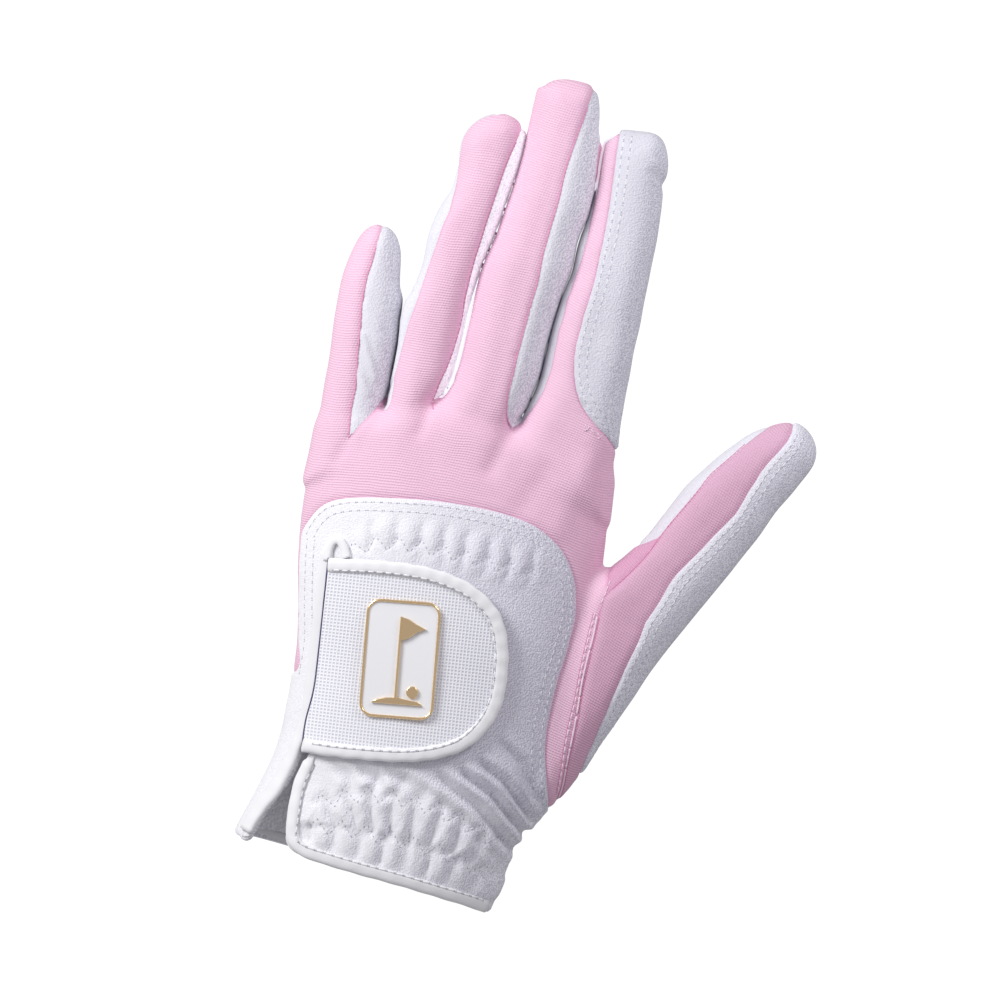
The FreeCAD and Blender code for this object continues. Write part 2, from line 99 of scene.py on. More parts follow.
THUMB_OUTLINE = [
    (30.5, 12), (31, 18), (32.6, 21.6), (34.9, 24.1), (37.3, 27.1), (40, 31.3), (42.6, 35),
    (44.6, 39.2), (46.8, 44.1), (49.3, 49), (52, 52.9), (54.8, 56.7), (58.5, 60.9), (62, 64.2),
    (65.9, 66.7), (69.1, 68.1), (71.9, 67.8), (74.4, 66.4), (76.2, 64.3), (77.1, 61.6),
    (76.7, 58.8), (74.8, 54.8), (72.9, 51.1), (71.1, 48), (69.5, 44.3), (67.2, 39), (64.6, 33.6),
    (61.9, 28.1), (59.2, 22.8), (56.3, 17.3), (53.7, 11.8), (51.3, 6.9), (49, 1.7), (46.8, -4),
    (44.4, -9.8), (42, -15.9), (39.9, -21.4), (38.2, -25.8), (35.6, -30.1), (33, -33.2),
    (31.4, -35.4), (29.4, -37.6), (26.5, -39), (24.5, -36), (26, -20), (28.6, 0)]
# hand stations: y, left x, right x, bottom z, top z
HAND = [
    (-64, -38.9, 24.4, 2.4, 33.4), (-60, -38.4, 24.8, 2.3, 33.2), (-56, -37.6, 25.6, 2, 33),
    (-50, -36, 26.4, 1.6, 32.6), (-45, -34.6, 27.2, 1.2, 32.2), (-40, -33.2, 28.6, 0.8, 31.9),
    (-36, -32.3, 29.9, 0.4, 31.6), (-28, -31.4, 33.4, -0.2, 31), (-10, -32.5, 34.4, -0.6, 29.4),
    (0, -34.3, 34.6, -0.6, 29.2), (10, -36.6, 34.8, -0.6, 28.8), (24, -38.6, 33.8, -0.2, 28),
    (34, -38.6, 32.6, 0.5, 26.4), (43, -38.6, 31.6, 1.6, 24), (52, -39, 30.6, 2.6, 22.4),
    (60, -39.2, 30, 3, 21.6)]
# where the hand ends between the finger roots
WEB = [(-45, 50), (-30, 50.5), (-25, 51.5), (-18, 54.5), (-13, 55.5), (-5, 55.5), (2, 54.5),
       (7, 53.8), (14, 53.5), (40, 52)]

# seams on the fingers
LITTLE_SEAM = [
    (-30.2, 39.5), (-31.1, 41.6), (-32.1, 48.2), (-32.2, 53), (-32.8, 57.7), (-33.6, 62.4),
    (-34.1, 67), (-34.9, 71.7), (-35.2, 75.2), (-35.3, 80), (-34.9, 83.7), (-34.8, 87.4),
    (-34.6, 91), (-34.5, 95)]
RING_LEFT_SEAM = [
    (-31.6, 39.5), (-31.1, 41.6), (-29.3, 45.3), (-26.4, 50), (-24.5, 53.5), (-24.2, 57),
    (-23.9, 62), (-23.7, 66.9), (-23.5, 70.6), (-23, 74.3), (-22.6, 78), (-22.2, 82.9),
    (-21.7, 87.1), (-21, 91.6), (-20.6, 95.3), (-19.8, 99.2), (-19.6, 104.1), (-20.2, 110),
    (-21, 116), (-21, 128)]
RING_RIGHT_SEAM = [
    (-13.2, 52.5), (-13.9, 54), (-13.6, 56), (-13, 59.7), (-12.4, 62.2), (-11.8, 66),
    (-11.5, 69.7), (-11.3, 74.5), (-11.6, 79.3), (-11.6, 82.9), (-11.5, 86.5), (-11.3, 90.2),
    (-10.9, 93.9), (-10.7, 97), (-10.3, 100.7), (-10, 103.7), (-9.6, 107.4), (-9.2, 111.1),
    (-8.5, 115.6), (-7.8, 118.6), (-7.4, 121), (-7, 126)]
MIDDLE_LEFT_SEAM = [
    (-14.6, 52.5), (-13.95, 53.9), (-13.3, 54.9), (-12.2, 56.4), (-11.2, 58.5), (-10.4, 61.5),
    (-9.95, 67.7), (-9.9, 78.5), (-9.7, 83), (-9.2, 89), (-8.05, 94.5), (-7.3, 100),
    (-6.65, 105.6), (-6.1, 110.5), (-5.8, 115.4), (-5.8, 150)]
MIDDLE_RIGHT_SEAM = [
    (6.6, 51), (5.85, 52.3), (4.2, 53.9), (3.4, 57.3), (3.1, 60.9), (3.3, 64.5), (3.2, 68.1),
    (3.4, 71.8), (3.5, 75.4), (3.7, 79), (3.8, 82.7), (4.2, 86.4), (4.1, 90), (4, 93.6),
    (4.2, 97.2), (4.4, 100.9), (4.7, 104.5), (4.9, 108.2), (4.8, 111.8), (5, 115.4), (5.4, 119.1),
    (5.8, 122.8), (6.4, 126.6), (6.8, 130.3), (7.2, 132.8), (7.6, 140)]
INDEX_LEFT_SEAM = [
    (5, 51), (5.85, 52.3), (7.8, 54.7), (9.6, 58.7), (10.9, 62.6), (11.5, 67.5), (11.4, 72.3),
    (11.3, 77.1), (11.7, 80.8), (11.6, 84.4), (12, 86.9), (12.4, 90.6), (12.9, 93.8), (13, 96.8),
    (13.1, 100.4), (13.1, 104), (13.1, 107.6), (12.9, 111.2), (12, 118), (11, 130)]
INDEX_OVERLAY_EDGE = [
    (15.2, 130), (15.5, 125.7), (15.7, 121.4), (16.2, 116.7), (16.6, 112), (16.9, 107.2),
    (17, 103.7), (17.1, 100.1), (17.1, 96.5), (17.2, 92.9), (17.1, 89.2), (16.9, 85.6),
    (16.5, 81.9), (16.4, 78.2), (16.2, 74.6), (16.5, 71.1), (17.3, 67.6), (18.5, 64.3),
    (20.1, 61.5), (22.3, 59.1), (25.2, 56.9), (27.9, 55.3), (30.3, 53.2), (31.9, 51.6),
    (34, 48.6)]

# seams around the thumb
THUMB_OVERLAY_SEAM = [
    (70.6, 72), (70.2, 67.6), (70.2, 65.6), (69.5, 63.1), (68, 60.3), (66.2, 57.3), (64.9, 54.6),
    (64.2, 52.3), (63.1, 49.6), (62.3, 46.8), (61.3, 43.9), (59, 40.3), (57.2, 37.5), (55.1, 33.9),
    (52.9, 30.5), (50.6, 26.9), (49.5, 24.2), (48.4, 20.4), (47.2, 17.2), (46.1, 14.6),
    (45.7, 10.9), (45, 7.6), (44.2, 4.5), (43.3, 0), (42.4, -4.3), (41.8, -8.1), (41.1, -11.8),
    (40.4, -16.3), (39.7, -19.4), (39, -23.9), (37.6, -32), (36, -40)]
THUMB_BACK_SEAM = [
    (66, 67.5), (62.5, 63.4), (60, 60.5), (58.2, 57.9), (55.8, 54.7), (53.5, 51.6), (51.9, 48.1),
    (50.2, 44.8), (48.5, 41.6), (46.5, 37.8), (45.2, 35), (43.6, 31.3), (41.9, 28.1),
    (39.2, 23.9), (36.5, 20.1), (35.2, 18)]
HAND_THUMB_SEAM = [
    (35.3, -70), (35.3, -36), (35.1, -30.2), (35.4, -27.1), (35.2, -21.1), (35.2, -15.1),
    (35.2, -9.1), (35, -4.3), (34.7, -0.8), (34.6, 4.1) if False else (34.6, -0.8),
    (34.7, 4.1), (34.9, 8.9), (34.8, 13.7), (35.2, 17), (35.6, 20), (35, 24.1), (36.2, 28),
    (48, 60), (56, 90)]
HAND_THUMB_SEAM = [
    (35.3, -70), (35.3, -36), (35.1, -30.2), (35.4, -27.1), (35.2, -21.1), (35.2, -15.1),
    (35, -9.1), (34.7, -4.3), (34.6, -0.8), (34.7, 4.1), (34.9, 8.9), (34.8, 13.7), (35.2, 17),
    (35.6, 20), (35, 24.1), (36.2, 28), (48, 60), (56, 90)]
THUMB_STITCH_ROW = [(34.1, 14.3), (33.9, 9.9), (33.8, 5.1), (33.8, -0.2), (34, -5.7),
                    (33.9, -11.7), (34, -17.7), (34.4, -23.7), (34.7, -29.6)]

# wrist panel, the slit on its -X side, the hem, the tab and its badge
WRIST_OUTLINE = [
    (-37.1, 17.8), (-36.5, 20.3), (-35.2, 23), (-33.3, 25.4), (-30.1, 27.3), (-24.5, 29),
    (-16.4, 30.5), (-9.4, 31.6), (-2.3, 32.2), (4.9, 32.4), (10.9, 32), (16, 31), (20, 29.2),
    (23.4, 26.9), (26, 23.8), (28, 20.2), (29.2, 16.1), (30, 11.5), (29.8, 6.6), (29.6, 2.2),
    (29.1, -2), (28.9, -6.8), (28.9, -10.9), (29.1, -16.4), (29.9, -21), (30.9, -24.4),
    (32.2, -29), (33.4, -33), (34.5, -38), (36, -46), (36, -75), (-50, -75), (-50, -18),
    (-31.9, -15), (-32.4, -7.2), (-34.4, 2), (-36.2, 11.2)]
SLIT_LEFT = [(-28.6, 11.8), (-28.1, 5.9), (-27.3, -1.2), (-26.6, -8.2), (-25.9, -15.2),
             (-25.3, -22.3), (-25.4, -27.2), (-25.9, -31), (-26.4, -34.5), (-27.2, -38.5),
             (-29.2, -43.4), (-31.6, -48.4)]
SLIT_RIGHT = [(-27.2, 11.8), (-26.7, 5.9), (-25.9, -1.2), (-25.2, -8.2), (-24.5, -15.2),
              (-23.9, -22.3), (-23.9, -27.2), (-24, -31), (-24.6, -34.5), (-25.8, -38.2),
              (-25.8, -43), (-25.5, -47.8), (-25.2, -52)]
HEM = [(-18.4, -55.8), (-14.1, -56.1), (-6.7, -56.6), (3, -57.1), (12.9, -58), (20.3, -58.8)]
# the slit and everything past the hem, cut away from the upper side
CUTAWAY = [(-27.9, 13)] + SLIT_RIGHT + [(-25.2, -52.2), (-24.5, -53.8), (-23, -55), (-21, -55.5)]
CUTAWAY += HEM + [(24.6, -59.8), (60, -63), (60, -90), (-70, -90), (-70, -52), (-38, -54.4)]
CUTAWAY += [(-35.8, -55.4), (-34.3, -55.6), (-33.4, -54.6)] + SLIT_LEFT[::-1]
TAB_EDGE = [
    (-28.5, 13.4), (-17.8, 15.3), (-8.4, 16.2), (-2.3, 15.9), (2.7, 15), (6.6, 13.5),
    (10.9, 10.6), (13.5, 7.3), (15.6, 2.3), (16.6, -2.3), (17.2, -8.2), (16.7, -13.6),
    (14.9, -18.4), (12.2, -22.3), (9.1, -24.9), (3.7, -27.6), (-3.1, -29.6), (-12.3, -31.1),
    (-19.4, -32), (-24.6, -32.4)]
TAB_HINGE = [(-24.6, -32.4), (-25.2, -25.3), (-25, -17.6), (-25.9, -8.1), (-27.3, 3.6),
             (-28.5, 13.4)]
BADGE_CORNERS = np.array([(-17.7, 6.2), (-0.5, 8.6), (2.7, -18.7), (-15.6, -20.8)])
# zigzag rows: centre line, amplitude, pitch
UPPER_ZIGZAG = ([(-25.2, 16.1), (-18.7, 19.2), (-11.7, 20.3), (-4.6, 20.6), (2.7, 20.6),
                 (9.9, 20.3), (18.5, 19.7)], 1.6, 5.25)
WRIST_ZIGZAG = ([(-19.9, -42.9), (-10.6, -38.9), (-1.3, -37.6), (8.6, -38.5), (18.7, -41.1),
                 (25.3, -43.7)], 1.8, 5.5)
HEM_ZIGZAG = ([(-20.1, -48.3), (-11.2, -47.2), (0.8, -47), (13.1, -48.1), (23.3, -50.7)],
              1.8, 5.8)

# lines that part neighbouring fingers: little/ring, ring/middle, middle/index
PARTINGS = (
    [(-24.55, 30), (-24.6, 57), (-24.9, 66), (-25.6, 72), (-26, 76), (-26, 150)],
    [(-13.5, 30), (-13.4, 54), (-12.9, 55.5), (-11.65, 57), (-10.6, 60), (-10.05, 67.7),
     (-10, 78.5), (-9.8, 83), (-9.3, 89), (-8.15, 94.5), (-7.4, 100), (-6.75, 105.6),
     (-6.2, 110.5), (-5.85, 115.4), (-5.9, 150)],
    [(5.9, 30), (6, 50), (7.1, 54), (8.15, 58), (9.3, 63.4), (9.65, 67.1), (9.6, 70.8),
     (9.7, 74.3), (9.9, 79.2), (10.25, 82.9), (10.65, 86.7), (11.45, 90.4), (11.6, 93.5),
     (11.45, 97.6), (11.75, 100.8), (12.45, 104.3), (12.75, 108.2), (12.8, 111.4), (12.6, 115),
     (12.3, 119), (12, 125), (12, 150)])

# stations: y (for the thumb, distance along it), centre z, half height
HEIGHTS = {
    "little": [(30, 13, 7.4), (44, 12.2, 7.6), (56, 10.9, 7.6), (66, 10.2, 7.5), (76, 9.3, 7.1),
               (84, 8.5, 6.5), (92, 7.9, 6)],
    "ring": [(36, 13.4, 8.2), (48, 12.9, 8.6), (56, 12.6, 8.7), (70, 11.9, 8.6), (86, 11, 8.4),
             (100, 9.9, 7.9), (111, 9.1, 7.4), (124, 8.4, 6.6)],
    "middle": [(36, 13.8, 8.6), (48, 13.3, 9), (56, 13.1, 9.1), (72, 12.4, 9), (90, 11.5, 8.7),
               (104, 10.3, 8.3), (118, 9.3, 7.7), (135, 8.6, 6.8)],
    "index": [(36, 13.2, 8.8), (48, 12.8, 9.2), (56, 12.5, 9.2), (72, 11.7, 8.9), (88, 11, 8.6),
              (102, 9.7, 8.1), (114, 8.9, 7.5), (127, 8.4, 6.9)],
    "thumb": [(-44, 15, 7.6), (-30, 15, 8.6), (-10, 15, 9.2), (10, 15, 9.4), (30, 14.6, 9.3),
              (45, 13.9, 8.9), (58, 13.2, 8.2), (74, 12.5, 7.2)],
}
# how far in from its outline a finger keeps rounding over
ROUNDING = {"little": 6.1, "ring": 6.3, "middle": 7.6, "index": 7.6, "thumb": 8.4}
THUMB_ORIGIN = (36.7, 1.7)
THUMB_ANGLE = math.radians(27.0)    # from +Y towards +X
THUMB_WAY = (math.sin(THUMB_ANGLE), math.cos(THUMB_ANGLE))
THUMB_TIP_FROM = 36.0               # distance along the thumb where its tip body begins
# where each finger bends, in y: base from and to, tip from and to
BENDS = {"little": (51.5, 60.0, 60.0, 75.0), "ring": (57.2, 72.0, 74.0, 98.0),
         "middle": (57.5, 74.0, 80.0, 104.0), "index": (55.5, 72.0, 77.0, 100.0)}


# ------------------------------------------------------------------ lines and small numbers
def spline(points, step=0.6, closed=False):
    """Catmull-Rom resampling of a line."""
    p = np.array(points, float)
    if closed:
        ends = np.vstack([p[-1], p, p[0], p[1]])
    else:
        ends = np.vstack([2 * p[0] - p[1], p, 2 * p[-1] - p[-2]])
    out = []
    for i in range(1, len(ends) - 2):
        a, b, c, d = ends[i - 1:i + 3]
        count = max(1, int(np.linalg.norm(c - b) / step))
        t = (np.arange(count) / count)[:, None]
        out.append(0.5 * ((2 * b) + (-a + c) * t + (2 * a - 5 * b + 4 * c - d) * t ** 2
                          + (-a + 3 * b - 3 * c + d) * t ** 3))
    if not closed:
        out.append(ends[-2][None])
    return np.vstack(out)


def relax(line, passes=3):
    """Evens out the wobble of a line, keeping its ends."""
    line = np.array(line, float)
    for _ in range(passes):
        line[1:-1] = 0.25 * line[:-2] + 0.5 * line[1:-1] + 0.25 * line[2:]
    return line


def smooth_line(points, step, passes, closed=False):
    return relax(spline(points, step, closed), passes)


def unit(vectors):
    return vectors / np.maximum(np.linalg.norm(vectors, axis=-1, keepdims=True), 1e-12)


def arc_length(line):
    steps = np.linalg.norm(np.diff(line, axis=0), axis=1)
    return np.concatenate([[0], np.cumsum(steps)])


def pick(places, arc, values):
    """Values at places along a line whose points lie at the given arc lengths."""
    return np.stack([np.interp(places, arc, column) for column in values.T], -1)


def shift_right(line, amount):
    """A line moved sideways, to its right when looking along it."""
    line = np.array(line, float)
    way = unit(np.gradient(line, axis=0))
    return line + np.stack([way[:, 1], -way[:, 0]], 1) * amount


def zigzag(line, amplitude, pitch):
    line = spline(line, 0.25)
    wave = np.arcsin(np.sin(TURN * arc_length(line) / pitch))
    return shift_right(line, -(amplitude * (2 / math.pi) * wave)[:, None])


def line_distance(line, x, y, closed=True):
    """Distance to a line, negative inside when it is closed."""
    starts = np.array(line, float)
    ends = np.roll(starts, -1, 0) if closed else starts[1:]
    starts = starts if closed else starts[:-1]
    distance = np.full(x.shape, 1e9)
    inside = np.zeros(x.shape, bool)
    for (x0, y0), (x1, y1) in zip(starts, ends):
        dx, dy = x1 - x0, y1 - y0
        square = dx * dx + dy * dy
        if square < 1e-12:
            continue
        t = np.clip(((x - x0) * dx + (y - y0) * dy) / square, 0, 1)
        distance = np.minimum(distance, (x - x0 - t * dx) ** 2 + (y - y0 - t * dy) ** 2)
        if closed and y0 != y1:
            inside ^= ((y0 > y) != (y1 > y)) & (x < (x1 - x0) * (y - y0) / (y1 - y0) + x0)
    distance = np.sqrt(distance)
    return np.where(inside, -distance, distance) if closed else distance


def along(line, places):
    """Distance to a line, and the arc length of the nearest place on it."""
    line = np.array(line, float)
    nearest, arc = np.full(len(places), 1e9), np.zeros(len(places))
    run = 0.0
    for a, b in zip(line[:-1], line[1:]):
        way = b - a
        length = np.linalg.norm(way)
        t = np.clip(((places[:, :2] - a) @ way) / (length * length), 0, 1)
        distance = np.linalg.norm(places[:, :2] - a - t[:, None] * way, axis=1)
        closer = distance < nearest
        nearest[closer], arc[closer] = distance[closer], (run + t * length)[closer]
        run += length
    return nearest, arc


def x_at(line, y):
    table = np.array(line, float)
    table = table[np.argsort(table[:, 1])]
    return np.interp(y, table[:, 1], table[:, 0])


def station(table, place, column):
    table = np.array(table, float)
    return np.interp(place, table[:, 0], table[:, column])


def ease(start, end, x):
    """Smooth step from 0 to 1."""
    t = np.clip((x - start) / (end - start), 0, 1)
    return t * t * (3 - 2 * t)


def bell(distance, width):
    return np.exp(-(distance / width) ** 2)


def soft_min(a, b, reach):
    h = np.clip(0.5 + 0.5 * (b - a) / reach, 0, 1)
    return b * (1 - h) + a * h - reach * h * (1 - h)


def blur(grid, sigma):
    reach = int(3 * sigma) + 1
    kernel = np.exp(-0.5 * (np.arange(-reach, reach + 1) / sigma) ** 2)
    kernel /= kernel.sum()
    for axis in (0, 1):
        pads = [(reach, reach) if i == axis else (0, 0) for i in (0, 1)]
        padded = np.moveaxis(np.pad(grid, pads, mode="edge"), axis, 0)
        size = grid.shape[axis]
        total = sum(weight * padded[i:i + size] for i, weight in enumerate(kernel))
        grid = np.moveaxis(total, 0, axis)
    return grid


# ------------------------------------------------------------------ the worn shape as a field
HAND_POWER, FINGER_POWER = 2.18, 2.2    # squareness of the cross sections; 2 is an ellipse
MAP_X, MAP_Y, MAP_STEP = -50.0, -70.0, 0.5
MAP_GRID = np.meshgrid(np.arange(MAP_X, 86.0, MAP_STEP), np.arange(MAP_Y, 144.0, MAP_STEP),
                       indexing="ij")


def sample_map(grid, x, y):
    """Bilinear look-up in a map over the plane."""
    across = np.clip((x - MAP_X) / MAP_STEP, 0, grid.shape[0] - 1.001)
    up = np.clip((y - MAP_Y) / MAP_STEP, 0, grid.shape[1] - 1.001)
    i, j = across.astype(int), up.astype(int)
    a, b = across - i, up - j
    return (grid[i, j] * (1 - a) * (1 - b) + grid[i + 1, j] * a * (1 - b)
            + grid[i, j + 1] * (1 - a) * b + grid[i + 1, j + 1] * a * b)


def plan_map(name, outline, gap, sigma):
    """The share of a finger's field that depends on its outline."""
    distance = line_distance(outline, *MAP_GRID)
    rounded = np.clip(1 + (distance - gap) / ROUNDING[name], 0, 6)
    return blur(rounded ** FINGER_POWER, sigma)


def finger_outline(name):
    left, right = (smooth_line(edge, 0.8, 2) for edge in FINGER_EDGES[name])
    return np.vstack([left, right[::-1][1:]])


PLAN_MAPS = {name: plan_map(name, finger_outline(name), 0.12, 1.2) for name in FINGERS}
PLAN_MAPS["thumb"] = plan_map("thumb", smooth_line(THUMB_OUTLINE, 0.8, 4, True), 0.0, 2.0)
HAND_LINES = smooth_line(HAND, 1.5, 6)
HAND_LINES = HAND_LINES[np.argsort(HAND_LINES[:, 0])]


def along_thumb(x, y):
    return (x - THUMB_ORIGIN[0]) * THUMB_WAY[0] + (y - THUMB_ORIGIN[1]) * THUMB_WAY[1]


def hand_field(x, y, z):
    left, right, bottom, top = (np.interp(y, HAND_LINES[:, 0], HAND_LINES[:, i])
                                for i in range(1, 5))
    # the hand rounds off over the last 9 mm before the finger roots
    end = np.clip((y - (np.interp(x, *np.array(WEB).T) - 9.0)) / 9.0, 0, 6)
    across = np.abs((x - (left + right) / 2) / ((right - left) / 2)) ** HAND_POWER
    up = np.abs((z - (bottom + top) / 2) / ((top - bottom) / 2)) ** HAND_POWER
    return ((across + up + end ** 2.4) ** (1 / HAND_POWER) - 1) * 13.0


def finger_field(name, x, y, z):
    place = along_thumb(x, y) if name == "thumb" else y
    centre, half = station(HEIGHTS[name], place, 1), station(HEIGHTS[name], place, 2)
    total = sample_map(PLAN_MAPS[name], x, y) + np.abs((z - centre) / half) ** FINGER_POWER
    return (total ** (1 / FINGER_POWER) - 1) * (8.5 if name == "thumb" else 7.5)


def field(x, y, z):
    """Negative inside the worn glove, roughly a distance near its surface."""
    fingers = finger_field("little", x, y, z)
    for name in FINGERS[1:]:
        fingers = np.minimum(fingers, finger_field(name, x, y, z))
    hand = soft_min(hand_field(x, y, z), fingers, 3.0)
    return soft_min(hand, finger_field("thumb", x, y, z), 2.6)


def gradient(places, reach=0.05):
    slopes = []
    for shift in reach * np.eye(3):
        slopes.append(field(*(places + shift).T) - field(*(places - shift).T))
    return np.stack(slopes, 1) / (2 * reach)


# ------------------------------------------------------------------ the skin
SKIN_STEP = 0.75


def surface_nets(step):
    """Quads over the surface where the field is zero."""
    xs, ys, zs = np.arange(-45, 81, step), np.arange(-63.2, 139, step), np.arange(-4, 38, step)
    grid_x, grid_y = np.meshgrid(xs, ys, indexing="ij")
    values = np.empty((len(xs), len(ys), len(zs)), np.float32)
    for k, z in enumerate(zs):
        values[:, :, k] = field(grid_x, grid_y, np.full_like(grid_x, z))
    values = np.where(np.abs(values) < 1e-6, 1e-6, values)
    inside = values < 0
    wide, deep, tall = inside.shape
    corners = [(i, j, k) for i in (0, 1) for j in (0, 1) for k in (0, 1)]
    count = sum(inside[i:wide - 1 + i, j:deep - 1 + j, k:tall - 1 + k].astype(np.int8)
                for i, j, k in corners)
    active = (count > 0) & (count < 8)
    cells = np.argwhere(active)
    index = -np.ones(active.shape, np.int64)
    index[active] = np.arange(len(cells))
    # each cell's point is the mean of the crossings on its edges
    total, crossings = np.zeros((len(cells), 3)), np.zeros(len(cells))
    for corner in corners:
        for axis in range(3):
            if corner[axis]:
                continue
            other = list(corner)
            other[axis] = 1
            low = values[tuple((cells + corner).T)].astype(float)
            high = values[tuple((cells + other).T)].astype(float)
            crossed = (low < 0) != (high < 0)
            place = np.tile(np.array(corner, float), (len(cells), 1))
            place[:, axis] = np.where(crossed, low / np.where(crossed, low - high, 1), 0)
            total[crossed] += place[crossed]
            crossings[crossed] += 1
    places = (cells + total / crossings[:, None]) * step + np.array([xs[0], ys[0], zs[0]])
    quads = []
    for axis in range(3):
        side_a, side_b = [a for a in range(3) if a != axis]
        low, high = [slice(1, -1)] * 3, [slice(1, -1)] * 3
        low[axis], high[axis] = slice(0, -1), slice(1, None)
        below = inside[tuple(low)]
        edges = np.argwhere(below != inside[tuple(high)])
        keep = below[tuple(edges.T)]
        offset = np.array([1, 1, 1])
        offset[axis] = 0
        edges = edges + offset
        around = []
        for da, db in ((0, 0), (-1, 0), (-1, -1), (0, -1)):
            cell = edges.copy()
            cell[:, side_a] += da
            cell[:, side_b] += db
            around.append(index[tuple(cell.T)])
        quad = np.stack(around, 1)
        if axis == 1:
            keep = ~keep
        quad[~keep] = quad[~keep][:, ::-1]
        quads.append(quad)
    quads = np.vstack(quads)
    return places, quads[(quads >= 0).all(1)]


def even_out(places, quads):
    """Evens the spacing of the points, then settles them back on the surface."""
    edges = np.vstack([quads[:, [i, (i + 1) % 4]] for i in range(4)])
    for turn in range(4):
        total, count = np.zeros_like(places), np.zeros(len(places))
        for a, b in ((0, 1), (1, 0)):
            np.add.at(total, edges[:, a], places[edges[:, b]])
            np.add.at(count, edges[:, a], 1)
        places = places + 0.5 * (total / np.maximum(count, 1)[:, None] - places)
        for _ in range(2 if turn == 3 else 1):
            slope = gradient(places)
            steep = np.maximum((slope ** 2).sum(1), 0.05)
            places = places - (field(*places.T) / steep)[:, None] * slope
    return places


def finger_sides(places):
    """One column per parting: below 0 towards the little finger, above 0 towards the index."""
    fields = [finger_field(name, *places.T) for name in FINGERS]
    columns = []
    for i, parting in enumerate(PARTINGS):
        offset = places[:, 0] - x_at(parting, places[:, 1])
        far = ease(3, 6, np.abs(offset))
        columns.append(0.5 * (fields[i] - fields[i + 1]) * (1 - far) + offset * far)
    return np.stack(columns, 1)


def snug(places):
    """Neighbouring fingers lie against each other, all but touching."""
    places = places.copy()
    x, y = places[:, 0], places[:, 1]    # views: x follows the moves below
    for i, (parting, start) in enumerate(zip(PARTINGS, (53.5, 54.5, 53.0))):
        middle = x_at(parting, y)
        ramp = ease(start, start + 4, y)
        edges = FINGER_EDGES[FINGERS[i]][1], FINGER_EDGES[FINGERS[i + 1]][0]
        for side, edge in zip((-1, 1), edges):
            gap = side * (x_at(edge, y) - middle)
            own_side = side * (x - middle) > 0
            past = side * (x - middle) - gap
            weight = ramp * (1 - ease(0.9, 1.7, gap)) * bell(np.maximum(past, 0), 1.6) * own_side
            places[:, 0] -= side * weight * np.clip(gap - 0.10, 0, 1.2)
    return places


def triangulate(places, quads):
    """Splits each quad along its shorter diagonal."""
    first = np.linalg.norm(places[quads[:, 0]] - places[quads[:, 2]], axis=1)
    second = np.linalg.norm(places[quads[:, 1]] - places[quads[:, 3]], axis=1)
    by_first = np.stack([quads[:, [0, 1, 2]], quads[:, [0, 2, 3]]], 1)
    by_second = np.stack([quads[:, [0, 1, 3]], quads[:, [1, 2, 3]]], 1)
    return np.where((first < second)[:, None, None], by_first, by_second).reshape(-1, 3)


def point_normals(places, faces):
    a, b, c = (places[faces[:, i]] for i in range(3))
    normals = np.zeros_like(places)
    for i in range(3):
        np.add.at(normals, faces[:, i], np.cross(b - a, c - a))
    return unit(normals)


skin, skin_quads = surface_nets(SKIN_STEP)
skin = even_out(skin, skin_quads)
skin_sides = finger_sides(skin)
skin = snug(skin)
skin_faces = triangulate(skin, skin_quads)
skin_normals = point_normals(skin, skin_faces)
if (skin_normals * gradient(skin)).sum() < 0:
    skin_faces = skin_faces[:, ::-1].copy()
    skin_normals = -skin_normals


# ------------------------------------------------------------------ cutting sheets
# A sheet is a pair (rows, faces). While panels are cut, a row holds the place, the normal and
# the three finger sides; the finished rows are laid out as below.
PLACE, NORMAL, SKIN_SIDES = slice(0, 3), slice(3, 6), 6
SEAM, SKIN_NORMAL, REST, SIDES = 6, slice(7, 10), slice(10, 13), 13


def compact(rows, faces):
    """Leaves out rows that no face uses."""
    if not len(faces):
        return rows[:0], faces
    used, inverse = np.unique(faces, return_inverse=True)
    return rows[used], inverse.reshape(faces.shape)


def clip(rows, faces, value):
    """Cuts a sheet along value = 0; returns the sheets above and below."""
    near = np.abs(value) < 2e-3
    value = np.where(np.abs(value) < 1e-4, 1e-4, value)
    high = value > 0
    above, below = (high & ~near)[faces].any(1), (~high & ~near)[faces].any(1)
    positive, negative = faces[above & ~below], faces[~above]
    cut = faces[above & below]
    if len(cut):
        cut_high = high[cut]
        lone = np.where(cut_high.sum(1) == 1, np.argmax(cut_high, 1), np.argmax(~cut_high, 1))
        each = np.arange(len(cut))
        a, b, c = (cut[each, (lone + i) % 3] for i in range(3))
        edges = np.sort(np.vstack([np.stack([a, b], 1), np.stack([a, c], 1)]), 1)
        unique, inverse = np.unique(edges, axis=0, return_inverse=True)
        inverse = inverse.ravel()
        start, end = unique[:, 0], unique[:, 1]
        t = (value[start] / (value[start] - value[end]))[:, None]
        ab, ac = len(rows) + inverse[:len(cut)], len(rows) + inverse[len(cut):]
        rows = np.vstack([rows, rows[start] * (1 - t) + rows[end] * t])
        small = np.stack([a, ab, ac], 1)
        big = np.vstack([np.stack([ab, b, c], 1), np.stack([ab, c, ac], 1)])
        lone_high = high[a]
        twice = np.concatenate([lone_high, lone_high])
        positive = np.vstack([positive, small[lone_high], big[~twice]])
        negative = np.vstack([negative, small[~lone_high], big[twice]])
    return compact(rows, positive), compact(rows, negative)


def border(faces):
    """Directed border edges of a triangle mesh."""
    edges = np.vstack([faces[:, [0, 1]], faces[:, [1, 2]], faces[:, [2, 0]]])
    _, inverse, count = np.unique(np.sort(edges, 1), axis=0, return_inverse=True,
                                  return_counts=True)
    return edges[count[inverse.ravel()] == 1]


